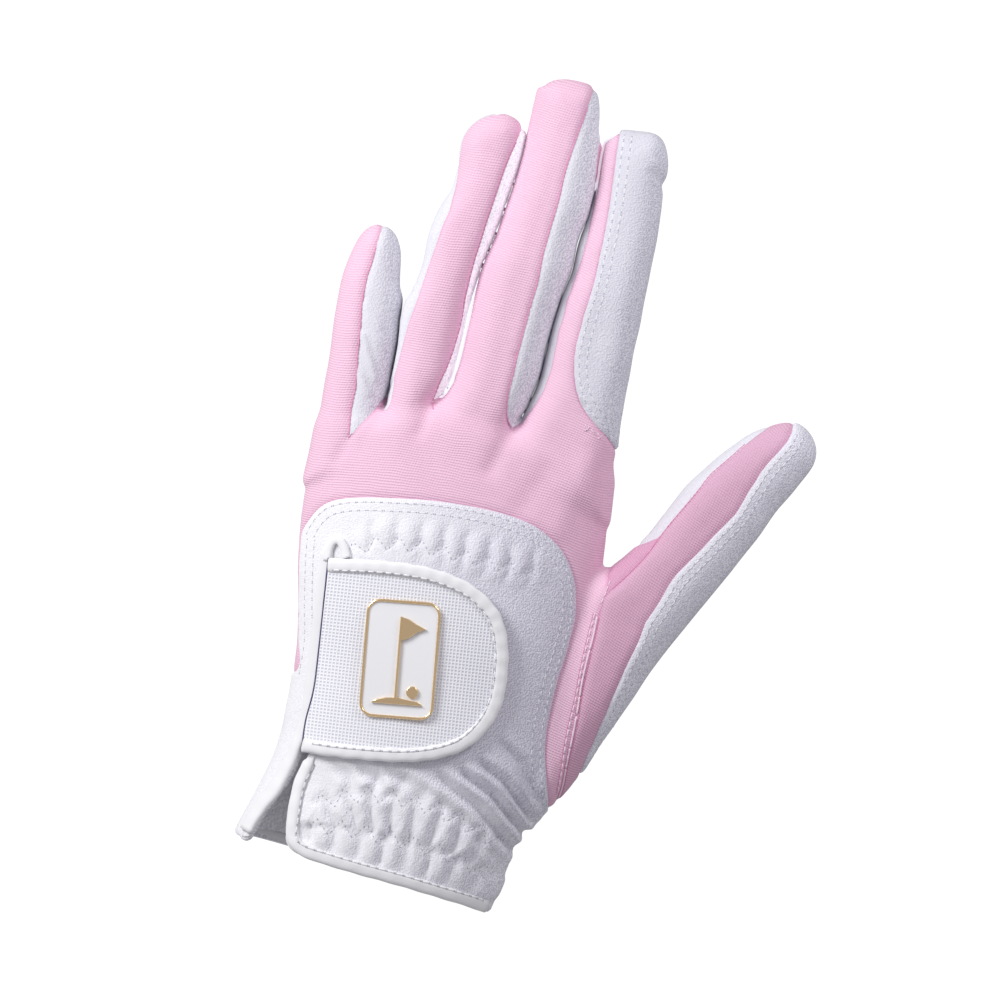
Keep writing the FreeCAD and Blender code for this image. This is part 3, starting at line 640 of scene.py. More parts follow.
def drop_crumbs(rows, faces, least=6):
    """Leaves out specks of mesh that a seam line may cut off."""
    if not len(faces):
        return rows, faces
    label = np.arange(len(rows))
    for _ in range(400):
        lowest = label[faces].min(1)
        new = label.copy()
        for i in range(3):
            np.minimum.at(new, faces[:, i], lowest)
        new = new[new]
        if (new == label).all():
            break
        label = new
    _, inverse, count = np.unique(label[faces[:, 0]], return_inverse=True, return_counts=True)
    return compact(rows, faces[count[inverse.ravel()] >= least])


def right_of(sheet, line):
    """How far each point of a sheet lies to the +X side of a line."""
    return sheet[0][:, 0] - x_at(line, sheet[0][:, 1])


# ------------------------------------------------------------------ panels
# the suede side of each finger that faces the little finger:
# panel, finger, lowest y, height above the finger's centre, extra height at the root and the
# y range over which it fades
SIDE_PANELS = (
    ("crotch_little_ring_side", "ring", 50.0, 1.6, 3.0, 56, 62),
    ("crotch_ring_middle_side", "middle", 54.0, -0.5, 3.7, 76, 90),
    ("crotch_middle_index_side", "index", 55.5, 2.0, 0.0, 76, 90))


def side_seam_height(x, y):
    """Height of the seam that runs along the sides of the hand and fingers."""
    centres = np.array([-33.0, -16.5, 0.5, 20.5])
    heights = np.stack([station(HEIGHTS[name], y, 1) - 0.4 * station(HEIGHTS[name], y, 2)
                        for name in FINGERS])
    left = np.clip(np.searchsorted(centres, x) - 1, 0, 2)
    t = np.clip((x - centres[left]) / (centres[left + 1] - centres[left]), 0, 1)
    each = np.arange(len(x))
    fingers = heights[left, each] * (1 - t) + heights[left + 1, each] * t
    to_fingers, to_thumb = ease(18, 52, y), ease(34.5, 38.5, x)
    hand = 14.5 * (1 - to_fingers) + fingers * to_fingers
    return hand * (1 - to_thumb) + 12.6 * to_thumb


def palm_hem(x):
    return np.interp(x, [-40, 30], [-54.2, -60.1])


def cut_thumb(sheet, panels):
    panels["thumb_overlay"], rest = clip(*sheet, right_of(sheet, THUMB_OVERLAY_SEAM))
    panels["thumb_back"], rest = clip(*rest, right_of(rest, THUMB_BACK_SEAM))
    x, y = rest[0][:, 0], rest[0][:, 1]
    panels["thumb_fourchette"], panels["thumb_gusset"] = clip(
        *rest, y - (32.3 + (x - 41.0) * 0.643))


def cut_finger_side(sheet, number, finger, lowest, rise, extra, fade_from, fade_to):
    rows = sheet[0]
    x, y, z = rows[:, PLACE].T
    left, right = (x_at(edge, y) for edge in FINGER_EDGES[finger])
    top = station(HEIGHTS[finger], y, 1) + rise + extra * (1 - ease(fade_from, fade_to, y))
    own = rows[:, SKIN_SIDES + number]
    before_next = -rows[:, SKIN_SIDES + number + 1] if number < 2 else 9.0
    value = np.minimum((left + right) / 2 - 2.0 - x, top - z)
    return clip(*sheet, np.minimum(value, np.minimum(y - lowest, np.minimum(own, before_next))))


def cut_hand(sheet, panels):
    def distance(outline):
        return line_distance(outline, sheet[0][:, 0], sheet[0][:, 1])

    sheet = clip(*sheet, distance(smooth_line(CUTAWAY, 0.8, 1, True)))[0]
    panels["wrist_panel"], rest = clip(*sheet, -distance(smooth_line(WRIST_OUTLINE, 1.0, 2, True)))
    panels["index_overlay"], rest = clip(
        *rest, np.minimum(right_of(rest, INDEX_OVERLAY_EDGE), rest[0][:, 1] - 47.5))
    wedges = (("crotch_little_ring", LITTLE_SEAM, RING_LEFT_SEAM),
              ("crotch_ring_middle", RING_RIGHT_SEAM, MIDDLE_LEFT_SEAM),
              ("crotch_middle_index", MIDDLE_RIGHT_SEAM, INDEX_LEFT_SEAM))
    for phase, (name, left, right) in enumerate(wedges):
        y = rest[0][:, 1]
        beyond = right_of(rest, right)
        if name == "crotch_ring_middle":
            # past the root this wedge ends where the middle finger begins
            on_finger = ease(55.5, 58.0, y)
            beyond = beyond * (1 - on_finger) + rest[0][:, SKIN_SIDES + 1] * on_finger
        scallop = 0.13 * np.abs(np.sin(np.pi * y / 2.1 + phase))
        panels[name], rest = clip(*rest, np.minimum(right_of(rest, left) - scallop, -beyond))
    for number, (name, *measures) in enumerate(SIDE_PANELS):
        panels[name], rest = cut_finger_side(rest, number, *measures)
    panels["back_panel"] = rest


def cut_panels():
    rows = np.hstack([skin, skin_normals, skin_sides])
    upper, lower = clip(rows, skin_faces, rows[:, 2] - side_seam_height(rows[:, 0], rows[:, 1]))
    panels = {}
    thumb, hand = clip(*upper, right_of(upper, HAND_THUMB_SEAM))
    cut_thumb(thumb, panels)
    cut_hand(hand, panels)
    lower = clip(*lower, lower[0][:, 1] - palm_hem(lower[0][:, 0]))[0]
    panels["thumb_palm"], panels["palm_panel"] = clip(*lower, right_of(lower, HAND_THUMB_SEAM))
    return {name: drop_crumbs(*sheet) for name, sheet in panels.items()}


PANELS = cut_panels()


# ------------------------------------------------------------------ relief
RAISED = ("wrist_panel", "index_overlay", "thumb_overlay")
# long folds of the wrist, fanning from the tab's lower corner to the thumb side:
# start, end, width, depth
FOLDS = [
    ((4.0, -29.5), (27.0, -44.0), 1.1, 0.95), ((9.0, -27.5), (28.6, -39.5), 1.0, 1.1),
    ((13.0, -24.5), (29.4, -36.0), 1.0, 1.0), ((-2.0, -31.5), (24.0, -47.5), 1.0, 0.3),
    ((17.0, -19.0), (30.0, -31.0), 1.1, 0.7), ((-8.0, -32.5), (4.0, -37.0), 1.3, 0.7),
    ((-14.0, -33.0), (-4.0, -37.5), 1.2, 0.8), ((-19.0, -33.5), (-11.5, -38.5), 1.1, 0.7)]
# palm creases: three points, depth
PALM_CREASES = [([(26, 36), (6, 30), (-12, 8)], 0.5), ([(-34, 34), (-10, 38), (14, 42)], 0.45),
                ([(24, 24), (12, 0), (10, -28)], 0.5)]
# creases across the little finger's side panel: start and end, width, height
SIDE_CREASES = [([(-33.6, 66.5), (-28.0, 56.5)], 0.8, 0.30),
                ([(-33.5, 58.0), (-29.0, 53.0)], 0.9, 0.2),
                ([(-34.0, 73.0), (-30.0, 69.5)], 1.2, 0.18)]
# knuckles: x, y, radius, height
KNUCKLES = [(20, 44, 8, 0.5), (-1, 46, 8, 0.55), (-18, 42, 8, 0.4)]
# tucks where the fingers start, start and end, width, depth; the last one is a ridge
TUCKS = [([(5.85, 52.0), (3.0, 42.0)], 2.2, 0.6), ([(-13.9, 53.6), (-15.0, 47.0)], 1.6, 0.5),
         ([(-31.0, 41.4), (-33.0, 36.0)], 1.6, 0.4), ([(12.0, 34.5), (16.0, 44.0)], 3.0, 0.45),
         ([(21.0, 31.0), (24.5, 47.0)], 3.0, -0.4)]


def seam_distance(rows, faces):
    """Distance from each point to the border of its panel."""
    edges = border(faces)
    starts, ends = rows[edges[:, 0], PLACE], rows[edges[:, 1], PLACE]
    points = np.vstack([starts, 0.5 * (starts + ends)])
    tree = kdtree.KDTree(len(points))
    for i, point in enumerate(points):
        tree.insert(point, i)
    tree.balance()
    return np.array([tree.find(place)[2] for place in rows[:, PLACE]])


def soft_noise(places, scale, seed):
    """Smooth noise from a few sines."""
    random = np.random.RandomState(100 + seed)
    out = np.zeros(len(places))
    for _ in range(7):
        wave = random.normal(size=3)
        wave = wave / np.linalg.norm(wave) * (TURN / scale) * random.uniform(0.6, 1.5)
        out += np.sin(places @ wave + random.uniform(0, 6.28))
    return out / 3.0


def billow(arc, pitch, shift):
    """Rounded gathers with a sharp valley every pitch."""
    return 2 * np.abs(np.cos(np.pi * arc / pitch + shift)) ** 0.8 - 1


def zigzag_groove(zigzag_row, places):
    return bell(along(zigzag(*zigzag_row)[::2], places)[0], 0.7)


def follow(zigzag_row, places):
    """Arc length beside a zigzag's centre line, and the line's y at each x."""
    line = spline(zigzag_row[0], 0.8)
    return along(line, places)[1], np.interp(places[:, 0], *line.T)


def upper_gathers(places, top):
    """The band of gathers towards the fingers from the tab."""
    x, y, z = places.T
    pitch = UPPER_ZIGZAG[2]
    arc, middle = follow(UPPER_ZIGZAG, places)
    across = ease(-27, -21, x) * (1 - ease(17, 23, x)) * top
    band = np.exp(-((y - middle - 1.2) / 4.6) ** 4) * across
    phase = arc + 0.10 * (y - middle) + 0.6 * soft_noise(places, 11, 21)
    out = 0.62 * band * (0.75 + 0.30 * soft_noise(places, 15, 22)) * billow(phase, pitch, 0.9)
    out -= 0.40 * zigzag_groove(UPPER_ZIGZAG, places) * across
    return out + 0.35 * bell(y - middle, 3.5) * across


def wrist_gathers(places, top):
    """Gathers between, below and above the two zigzags at the wrist."""
    x, y, z = places.T
    wrist_pitch, hem_pitch = WRIST_ZIGZAG[2], HEM_ZIGZAG[2]
    wrist_arc, wrist_y = follow(WRIST_ZIGZAG, places)
    hem_arc, hem_y = follow(HEM_ZIGZAG, places)
    # t is 0 on the wrist zigzag and 1 on the hem zigzag
    t = (wrist_y - y) / np.maximum(wrist_y - hem_y, 2.0)
    side = ease(-24, -20, x) * top
    wobble = 0.3 * soft_noise(places, 12, 23)
    between = ease(-0.12, 0.22, t) * (1 - ease(0.85, 1.10, t)) * side
    below = ease(0.95, 1.15, t) * (1 - ease(1.55, 1.95, t)) * side
    above = ease(-0.75, -0.25, t) * (1 - ease(-0.12, 0.1, t)) * side * (1 - ease(2, 12, x))
    tall = 0.8 + 0.35 * soft_noise(places, 14, 24)
    out = 0.95 * between * tall * billow(wrist_arc + wobble - 0.9 * (t - 0.5), wrist_pitch, 0.2)
    out += 0.75 * below * tall * billow(hem_arc + wobble * 0.6, hem_pitch, 1.4)
    out += 0.50 * above * tall * billow(wrist_arc + wobble + 1.5 * t, wrist_pitch, 0.2)
    ripple = TURN * (x - 0.05 * y) / 2.3 + 1.5 * np.sin(0.5 * y) + soft_noise(places, 8, 25)
    out += 0.07 * (between + below) * np.sin(ripple)
    for row in (WRIST_ZIGZAG, HEM_ZIGZAG):
        out -= 0.42 * zigzag_groove(row, places) * side
    return out


def wrist_folds(places, top):
    """The fanned folds, and ripples over the thumb side of the wrist."""
    x, y, z = places.T
    out = np.zeros(len(places))
    for (x0, y0), (x1, y1), width, depth in FOLDS:
        bent = [(x0, y0), ((x0 + x1) / 2 + 1.0, (y0 + y1) / 2 + 1.2), (x1, y1)]
        distance, arc = along(bent, places)
        length = math.hypot(x1 - x0, y1 - y0)
        fade = ease(0, 5, arc) * (1 - 0.6 * ease(length - 4, length + 2, arc))
        out -= 1.35 * depth * bell(distance, width) * fade * top
        out += 0.6 * depth * bell(distance - 2.0 * width, width) * fade * top
    patch = bell(x - 27.5, 5.0) * bell(y + 46, 9.0)
    return out + 0.35 * patch * np.sin(TURN * (x * 0.75 - y * 0.25) / 3.2)


def palm_relief(places):
    out = np.zeros(len(places))
    under = 1 - ease(6, 14, places[:, 2])
    for points, depth in PALM_CREASES:
        out -= depth * bell(along(spline(points, 2.0), places)[0], 1.6) * under
    return out + 0.10 * soft_noise(places, 16, 5) * under


def side_creases(places):
    out = np.zeros(len(places))
    for line, width, height in SIDE_CREASES:
        distance = along(line, places)[0]
        out += height * (bell(distance, width) - 0.8 * bell(distance - 1.6 * width, width))
    return out


def back_relief(places, top):
    x, y, z = places.T
    out = np.zeros(len(places))
    for at_x, at_y, radius, height in KNUCKLES:
        out += height * np.exp(-(((x - at_x) / radius) ** 2 + ((y - at_y) / radius) ** 2))
    for line, width, depth in TUCKS:
        out -= depth * bell(along(line, places)[0], width) * top
    return out


def relief(name, places, seam):
    """How far the outer face stands off the worn shape."""
    if name in RAISED:
        out = 0.42 - 0.5 * (1 - np.sqrt(np.clip(seam / 0.7, 0, 1)))
    else:
        out = -0.26 * bell(seam, 0.65) + 0.06 * bell(seam - 1.6, 0.9)
    top = ease(12, 18, places[:, 2])
    if name == "wrist_panel":
        out += upper_gathers(places, top) + wrist_gathers(places, top)
    if name in ("wrist_panel", "palm_panel"):
        out += wrist_folds(places, top)
    if name == "palm_panel":
        out += palm_relief(places)
    elif name == "crotch_little_ring":
        out += side_creases(places)
    elif name == "back_panel":
        out += back_relief(places, top)
    elif name == "index_overlay":
        out += 0.10 * soft_noise(places, 12, 3)
        out -= 0.6 * bell(along([(25.0, 118.5), (29.0, 115.5)], places)[0], 1.1)
    drape = 0.05 if name in ("back_panel", "thumb_back") else 0.07
    return out + drape * soft_noise(places, 14, 9)


# ------------------------------------------------------------------ bodies
# where the hand body ends: y at each x
HAND_END = ([-25.6, -25.0, -24.0, -12.4, -11.6, 7.0, 8.4],
            [51.5, 51.5, 57.2, 57.2, 57.5, 57.5, 55.5])


def split_bodies(rows, faces):
    """Cuts a panel where the bodies meet; the cuts aren't seams and stay invisible at rest."""
    out = {}
    past_thumb_seam = right_of((rows, faces), HAND_THUMB_SEAM)
    if np.median(past_thumb_seam) > 0 and past_thumb_seam.min() > -1.5:
        out["thumb_tip"], out["thumb_base"] = clip(
            rows, faces, along_thumb(rows[:, 0], rows[:, 1]) - THUMB_TIP_FROM)
        return out
    out["hand"], rest = clip(rows, faces, np.interp(rows[:, 0], *HAND_END) - rows[:, 1])
    for number, name in enumerate(FINGERS):
        finger = rest
        if number < 3:
            finger, rest = clip(*rest, -rest[0][:, SIDES + number])
        out[name + "_tip"], out[name + "_base"] = clip(*finger, finger[0][:, 1] - BENDS[name][2])
    return out


def bodies_at(places):
    """Which body each point belongs to, by the same rule as the panels."""
    x, y = places[:, 0], places[:, 1]
    out = np.full(len(places), "hand", dtype=object)
    for number, name in enumerate(FINGERS):
        here = y > BENDS[name][0]
        if number > 0:
            here &= x > x_at(PARTINGS[number - 1], y)
        if number < 3:
            here &= x <= x_at(PARTINGS[number], y)
        out[here] = name + "_base"
        out[here & (y > BENDS[name][2])] = name + "_tip"
    here = x > x_at(HAND_THUMB_SEAM, y)
    out[here] = "thumb_base"
    out[here & (along_thumb(x, y) > THUMB_TIP_FROM)] = "thumb_tip"
    return out


def attach(obj, body):
    """Rides on the hand or the tab; for any other body it only bakes the object's transform into
    its mesh.
    """
    if body in ("hand", "closure_tab"):
        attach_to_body(obj, body)
    elif body == "thumb_base":
        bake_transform(obj)
    elif body == "thumb_tip":
        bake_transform(obj)
    else:
        name, part = body.split("_")
        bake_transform(obj)


# ------------------------------------------------------------------ materials
MATERIALS = {}
PINK = (0.800, 0.505, 0.650)


class Shader:
    """Builds the nodes of one material around its Principled shader."""

    def __init__(self, name):
        self.material = MATERIALS[name] = bpy.data.materials.new(name)
        self.material.use_nodes = True
        self.tree = self.material.node_tree
        self.bsdf = self.tree.nodes["Principled BSDF"]

    def node(self, kind, **settings):
        node = self.tree.nodes.new("ShaderNode" + kind)
        for key, value in settings.items():
            setattr(node, key, value)
        return node

    def feed(self, socket, value):
        """Sets a number or colour, or links a socket."""
        if isinstance(value, (int, float)):
            socket.default_value = value
        elif isinstance(value, tuple):
            socket.default_value = (*value, 1)
        else:
            self.tree.links.new(value, socket)

    def set(self, values):
        for key, value in values.items():
            self.feed(self.bsdf.inputs[key], value)

    def math(self, operation, *values):
        node = self.node("Math", operation=operation)
        for socket, value in zip(node.inputs, values):
            self.feed(socket, value)
        return node.outputs[0]

    def clamp(self, value, top=1.0):
        return self.math("MINIMUM", self.math("MAXIMUM", value, 0.0), top)

    def wave(self, value, pitch):
        return self.math("SINE", self.math("MULTIPLY", value, TURN / pitch))

    def mix(self, factor, a, b, mode="MIX"):
        node = self.node("Mix", data_type="RGBA", blend_type=mode)
        for i, value in ((0, factor), (6, a), (7, b)):
            self.feed(node.inputs[i], value)
        return node.outputs[2]

    def noise(self, place, scale, detail=2.0, roughness=0.5):
        node = self.node("TexNoise")
        for key, value in (("Scale", scale), ("Detail", detail), ("Roughness", roughness),
                           ("Vector", place)):
            self.feed(node.inputs[key], value)
        return node.outputs[0]

    def bump(self, height, strength, depth):
        node = self.node("Bump")
        for key, value in (("Strength", strength), ("Distance", depth), ("Height", height)):
            self.feed(node.inputs[key], value)
        self.feed(self.bsdf.inputs["Normal"], node.outputs[0])

    def split(self, vector):
        node = self.node("SeparateXYZ")
        self.feed(node.inputs[0], vector)
        return node.outputs

    def rest(self):
        """Place on the glove before any bending, in mm."""
        return self.node("Attribute", attribute_name="rest").outputs["Vector"]

    def near_seam(self, reach, amount):
        seam = self.node("Attribute", attribute_name="seam").outputs["Fac"]
        fade = self.math("SUBTRACT", 1.0, self.math("DIVIDE", seam, reach))
        return self.math("MULTIPLY", self.math("MAXIMUM", fade, 0.0), amount)

    def shade_towards_thumb(self):
        """Grows where the surface faces +X, away from the key light; it weights painted shade."""
        facing = self.split(self.node("NewGeometry").outputs["Normal"])[0]
        return self.clamp(self.math("MULTIPLY_ADD", facing, 0.9, 0.15), 0.75)


def tint(colour, *factors):
    return tuple(value * factor for value, factor in zip(colour, factors))


def knit_material(name, thumb=False, deep=0.0):
    mat = Shader(name)
    place = mat.rest()
    x, y, z = mat.split(place)
    if thumb:
        course = mat.math("ADD", mat.math("MULTIPLY", y, 0.93), mat.math("MULTIPLY", x, 0.36))
    else:
        # the courses run uphill on the little finger's side and downhill on the index side
        shifted = mat.math("ADD", x, 30.0)
        slope = mat.math("MULTIPLY_ADD", shifted, -0.0036, 0.20)
        course = mat.math("SUBTRACT", y, mat.math("MULTIPLY", shifted, slope))
    course = mat.math("ADD", course, mat.math("MULTIPLY", z, 0.2))
    wobble = mat.math("MULTIPLY", mat.noise(place, scale=0.12), 1.2)
    rib = mat.wave(mat.math("ADD", course, wobble), pitch=0.58)
    # single loops along each rib
    loops = mat.wave(mat.math("SUBTRACT", x, mat.math("MULTIPLY", y, 0.21)), pitch=0.62)
    height = mat.math("ADD", mat.math("MULTIPLY", rib, 0.5), mat.math("MULTIPLY", loops, 0.16))
    fuzz = mat.noise(place, scale=2.6, detail=3, roughness=0.6)
    height = mat.math("ADD", height, mat.math("MULTIPLY", fuzz, 0.7))
    colour = mat.mix(mat.math("MULTIPLY_ADD", rib, 0.30, 0.5),
                     tint(PINK, 0.93, 0.85, 0.91), tint(PINK, 1.06, 1.13, 1.08))
    grain = mat.noise(place, scale=1.6, detail=4, roughness=0.7)
    colour = mat.mix(mat.math("MULTIPLY", grain, 0.16), colour, (0.95, 0.78, 0.87))
    # deeper colour where the cloth turns into a seam
    colour = mat.mix(mat.near_seam(reach=0.8, amount=0.45), colour, (0.66, 0.27, 0.45))
    # painted shade: a deeper pink on sides that face +X, away from the key light
    turned = mat.math("MULTIPLY", mat.shade_towards_thumb(), 0.47)
    colour = mat.mix(turned, colour, (0.80, 0.42, 0.60))
    # painted shade: the thumb's knit is darkened, standing for the weaker light that reaches it
    if thumb:
        colour = mat.mix(0.50, colour, (0.56, 0.30, 0.43))
    if deep:
        colour = mat.mix(deep, colour, (0.60, 0.22, 0.40))
    mat.set({"Base Color": colour, "Roughness": 0.72, "Sheen Weight": 0.18,
             "Sheen Roughness": 0.5, "Sheen Tint": (1, 0.86, 0.93), "Specular IOR Level": 0.25})
    mat.bump(height, strength=0.8, depth=0.00012)


def suede_material(name, colour, fine=2.6, strength=0.8, depth=0.0003, coarse=0.3, painted_shade_gradient=False,
                   painted_glow=0.0):
    mat = Shader(name)
    if painted_glow:
        # painted light: the wall glows a little, lifting the shade that the neighbouring finger
        # casts on it
        mat.set({"Emission Color": (0.93, 0.92, 0.97), "Emission Strength": painted_glow})
    place = mat.rest()
    grain = mat.noise(place, fine, detail=4, roughness=0.62)
    patches = mat.noise(place, fine * 0.28, detail=3, roughness=0.6)
    height = mat.math("ADD", grain, mat.math("MULTIPLY", patches, coarse))
    # painted shade and highlight: the same grain seen a little to one side, so each speck has a
    # lit and a shaded flank
    aside = mat.node("VectorMath", operation="ADD")
    mat.feed(aside.inputs[0], place)
    aside.inputs[1].default_value = (0.17, -0.07, 0.0)
    here, there = mat.noise(place, fine), mat.noise(aside.outputs[0], fine)
    painted_grain_shading = mat.clamp(mat.math("MULTIPLY_ADD", mat.math("SUBTRACT", there, here), 4.5, 0.5))
    # the painted grain shading is strongest on sides that face +X, away from the key light
    amount = mat.math("MULTIPLY_ADD", mat.shade_towards_thumb(), 1.1, 0.22)
    if painted_shade_gradient:
        # painted shade: the suede turns greyer, and its painted grain shading stronger, towards
        # the thumb side, less so near the hem
        x, y, z = mat.split(place)
        painted_shade_share = mat.clamp(mat.math("MULTIPLY_ADD", x, 0.021, 0.44))
        low = mat.clamp(mat.math("MULTIPLY_ADD", y, -0.09, -2.4))
        painted_shade_share = mat.math("MULTIPLY", painted_shade_share, mat.math("MULTIPLY_ADD", low, -0.65, 1.0))
        base = mat.mix(painted_shade_share, colour, tint(colour, 0.755, 0.745, 0.80))
        amount = mat.math("MULTIPLY_ADD", painted_shade_share, 0.62, amount)
    else:
        base = mat.mix(0.0, colour, colour)
    # shaded and lit copies of the base colour, mixed by the painted grain shading
    dark = mat.mix(1.0, base, (0.74, 0.73, 0.80), "MULTIPLY")
    light = mat.mix(1.0, base, (1.16, 1.16, 1.15), "MULTIPLY")
    mixed = mat.mix(mat.math("MINIMUM", amount, 1.0), base, mat.mix(painted_grain_shading, dark, light))
    mixed = mat.mix(mat.near_seam(reach=0.5, amount=0.25), mixed, (0.62, 0.60, 0.66))
    mat.set({"Base Color": mixed, "Roughness": 0.8, "Specular IOR Level": 0.22,
             "Sheen Weight": 0.08})
    mat.bump(height, strength, depth)


def plain_material(name, colour, roughness, specular, grain=0.0):
    mat = Shader(name)
    mat.set({"Base Color": colour, "Roughness": roughness, "Specular IOR Level": specular})
    if grain:
        mat.bump(mat.noise(mat.rest(), scale=2.2, detail=3), strength=grain, depth=0.0002)


def mesh_material():
    """A square weave turned by 6 degrees, with a hole between the threads."""
    mat = Shader("mesh_white")
    x, y, z = mat.split(mat.rest())
    cos, sin = math.cos(math.radians(6.0)), math.sin(math.radians(6.0))
    across = mat.math("ADD", mat.math("MULTIPLY", x, cos), mat.math("MULTIPLY", y, sin))
    up = mat.math("SUBTRACT", mat.math("MULTIPLY", y, cos), mat.math("MULTIPLY", x, sin))
    thread = mat.math("MAXIMUM", mat.math("MULTIPLY_ADD", mat.wave(across, 0.79), 0.5, 0.5),
                      mat.math("MULTIPLY_ADD", mat.wave(up, 0.79), 0.36, 0.5))
    hole = mat.math("MULTIPLY", mat.math("SUBTRACT", 1.0, thread), 1.6)
    hole = mat.math("MINIMUM", hole, 1.0)
    mat.set({"Base Color": mat.mix(hole, (0.92, 0.922, 0.945), (0.66, 0.665, 0.75)),
             "Roughness": 0.5, "Specular IOR Level": 0.3})
    mat.bump(thread, strength=0.6, depth=0.00025)


SIDE_GRAIN = dict(fine=2.3, strength=0.6, depth=0.00025)
knit_material("knit_pink")
knit_material("knit_pink_thumb", thumb=True)
# the wrist panel's suede carries painted shade that deepens towards the thumb side
suede_material("suede_white", (0.885, 0.88, 0.91), painted_shade_gradient=True)
# painted shade: greyer copies of the white suede for the thumb overlay and the index overlay
suede_material("suede_overlay_thumb", (0.80, 0.795, 0.855), strength=0.9)
suede_material("suede_overlay", (0.71, 0.71, 0.77), strength=1.0)
# side walls that glow as painted light over the shade between the fingers
suede_material("suede_side_through", (0.93, 0.93, 0.95), painted_glow=0.42, **SIDE_GRAIN)
suede_material("suede_side_light", (0.93, 0.93, 0.95), painted_glow=0.16, **SIDE_GRAIN)
knit_material("knit_pink_gusset", thumb=True, deep=0.30)
# painted shade: a greyer copy of the white suede for the side walls and fourchettes
suede_material("suede_side", (0.72, 0.715, 0.765), **SIDE_GRAIN)
suede_material("leather_white", (0.86, 0.86, 0.875), fine=1.1, strength=0.35, depth=0.00025,
               coarse=0.6)
plain_material("binding_white", (0.82, 0.82, 0.835), roughness=0.55, specular=0.35, grain=0.25)
mesh_material()
suede_material("loop_white", (0.80, 0.80, 0.81), fine=3.0, strength=0.9, depth=0.0005)
suede_material("hook_white", (0.74, 0.74, 0.75), fine=3.4, strength=1.0, depth=0.0006)
plain_material("elastic_white", (0.80, 0.80, 0.81), roughness=0.7, specular=0.2, grain=0.3)
plain_material("badge_white", (0.83, 0.835, 0.86), roughness=0.32, specular=0.5)
plain_material("thread_white", (0.82, 0.82, 0.85), roughness=0.6, specular=0.25)
# painted shade: the grey of the needle holes and of the pits on the bindings
plain_material("stitch_hole", (0.46, 0.45, 0.54), roughness=0.9, specular=0.05)
plain_material("binding_pit", (0.50, 0.49, 0.54), roughness=0.8, specular=0.1)
plain_material("seam_shadow", (0.10, 0.09, 0.17), roughness=0.9, specular=0.05)
plain_material("thread_pink", (0.70, 0.30, 0.47), roughness=0.7, specular=0.2)
plain_material("thread_pale", (0.86, 0.66, 0.77), roughness=0.6, specular=0.25 - 0.05)
Shader("badge_gold").set({"Base Color": (1.0, 0.74, 0.42), "Metallic": 1.0, "Roughness": 0.22})


# ------------------------------------------------------------------ meshes
SHEET_THICKNESS = 0.8


def add_rest(mesh, places):
    attribute = mesh.attributes.new("rest", "FLOAT_VECTOR", "POINT")
    attribute.data.foreach_set("vector", np.asarray(places, np.float32).ravel())


def link_object(name, mesh, material, body, pieces, slot):
    mesh.materials.append(MATERIALS[material])
    obj = bpy.data.objects.new(name, mesh)
    bpy.context.scene.collection.objects.link(obj)
    return obj


def register(obj, body, pieces):
    attach(obj, body)
    if pieces:
        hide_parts(*pieces)


def make_object(name, places, faces, material, body, pieces=(), slot=None, normals=None,
                seam=None, rest=None):
    """A smooth triangle mesh from places in mm; normals are per corner when given."""
    mesh = bpy.data.meshes.new(name)
    mesh.vertices.add(len(places))
    mesh.vertices.foreach_set("co", (places * MM).astype(np.float32).ravel())
    mesh.loops.add(faces.size)
    mesh.loops.foreach_set("vertex_index", faces.astype(np.int32).ravel())
    mesh.polygons.add(len(faces))
    mesh.polygons.foreach_set("loop_start", np.arange(0, faces.size, 3, dtype=np.int32))
    mesh.update(calc_edges=True)
    mesh.polygons.foreach_set("use_smooth", np.ones(len(faces), bool))
    add_rest(mesh, places if rest is None else rest)
    attribute = mesh.attributes.new("seam", "FLOAT", "POINT")
    # 50 mm stands for "far from any seam"
    seam = np.full(len(places), 50.0) if seam is None else seam
    attribute.data.foreach_set("value", seam.astype(np.float32))
    obj = link_object(name, mesh, material, body, pieces, slot)
    if normals is not None:
        mesh.normals_split_custom_set(normals.tolist())
    register(obj, body, pieces)
    return obj


def shell(name, rows, faces, material, body, pieces, slot, thickness=SHEET_THICKNESS):
    """A closed sheet: outer face as given, inner face below it, walls round its border."""
    count = len(rows)
    normals, skin_normal = unit(rows[:, NORMAL]), unit(rows[:, SKIN_NORMAL])
    places = np.vstack([rows[:, PLACE], rows[:, PLACE] - skin_normal * thickness])
    start, end = border(faces).T
    walls = np.vstack([np.stack([end, start, start + count], 1),
                       np.stack([end, start + count, end + count], 1)])
    wall_normals = unit(np.cross(places[walls[:, 1]] - places[walls[:, 0]],
                                 places[walls[:, 2]] - places[walls[:, 0]]))
    inner = faces[:, ::-1]
    corner_normals = np.vstack([normals[faces.ravel()], -skin_normal[inner.ravel()],
                                np.repeat(wall_normals, 3, 0)])
    return make_object(name, places, np.vstack([faces, inner + count, walls]), material, body,
                       pieces, slot, corner_normals, np.tile(rows[:, SEAM], 2),
                       np.tile(rows[:, REST], (2, 1)))


def finished_rows(rows, offset, faces, seam):
    """Rows of a sheet lifted off the skin by the offset."""
    skin_normal = unit(rows[:, NORMAL])
    places = rows[:, PLACE] + skin_normal * offset[:, None]
    return np.hstack([places, point_normals(places, faces), seam[:, None], skin_normal,
                      rows[:, PLACE], rows[:, SKIN_SIDES:]])


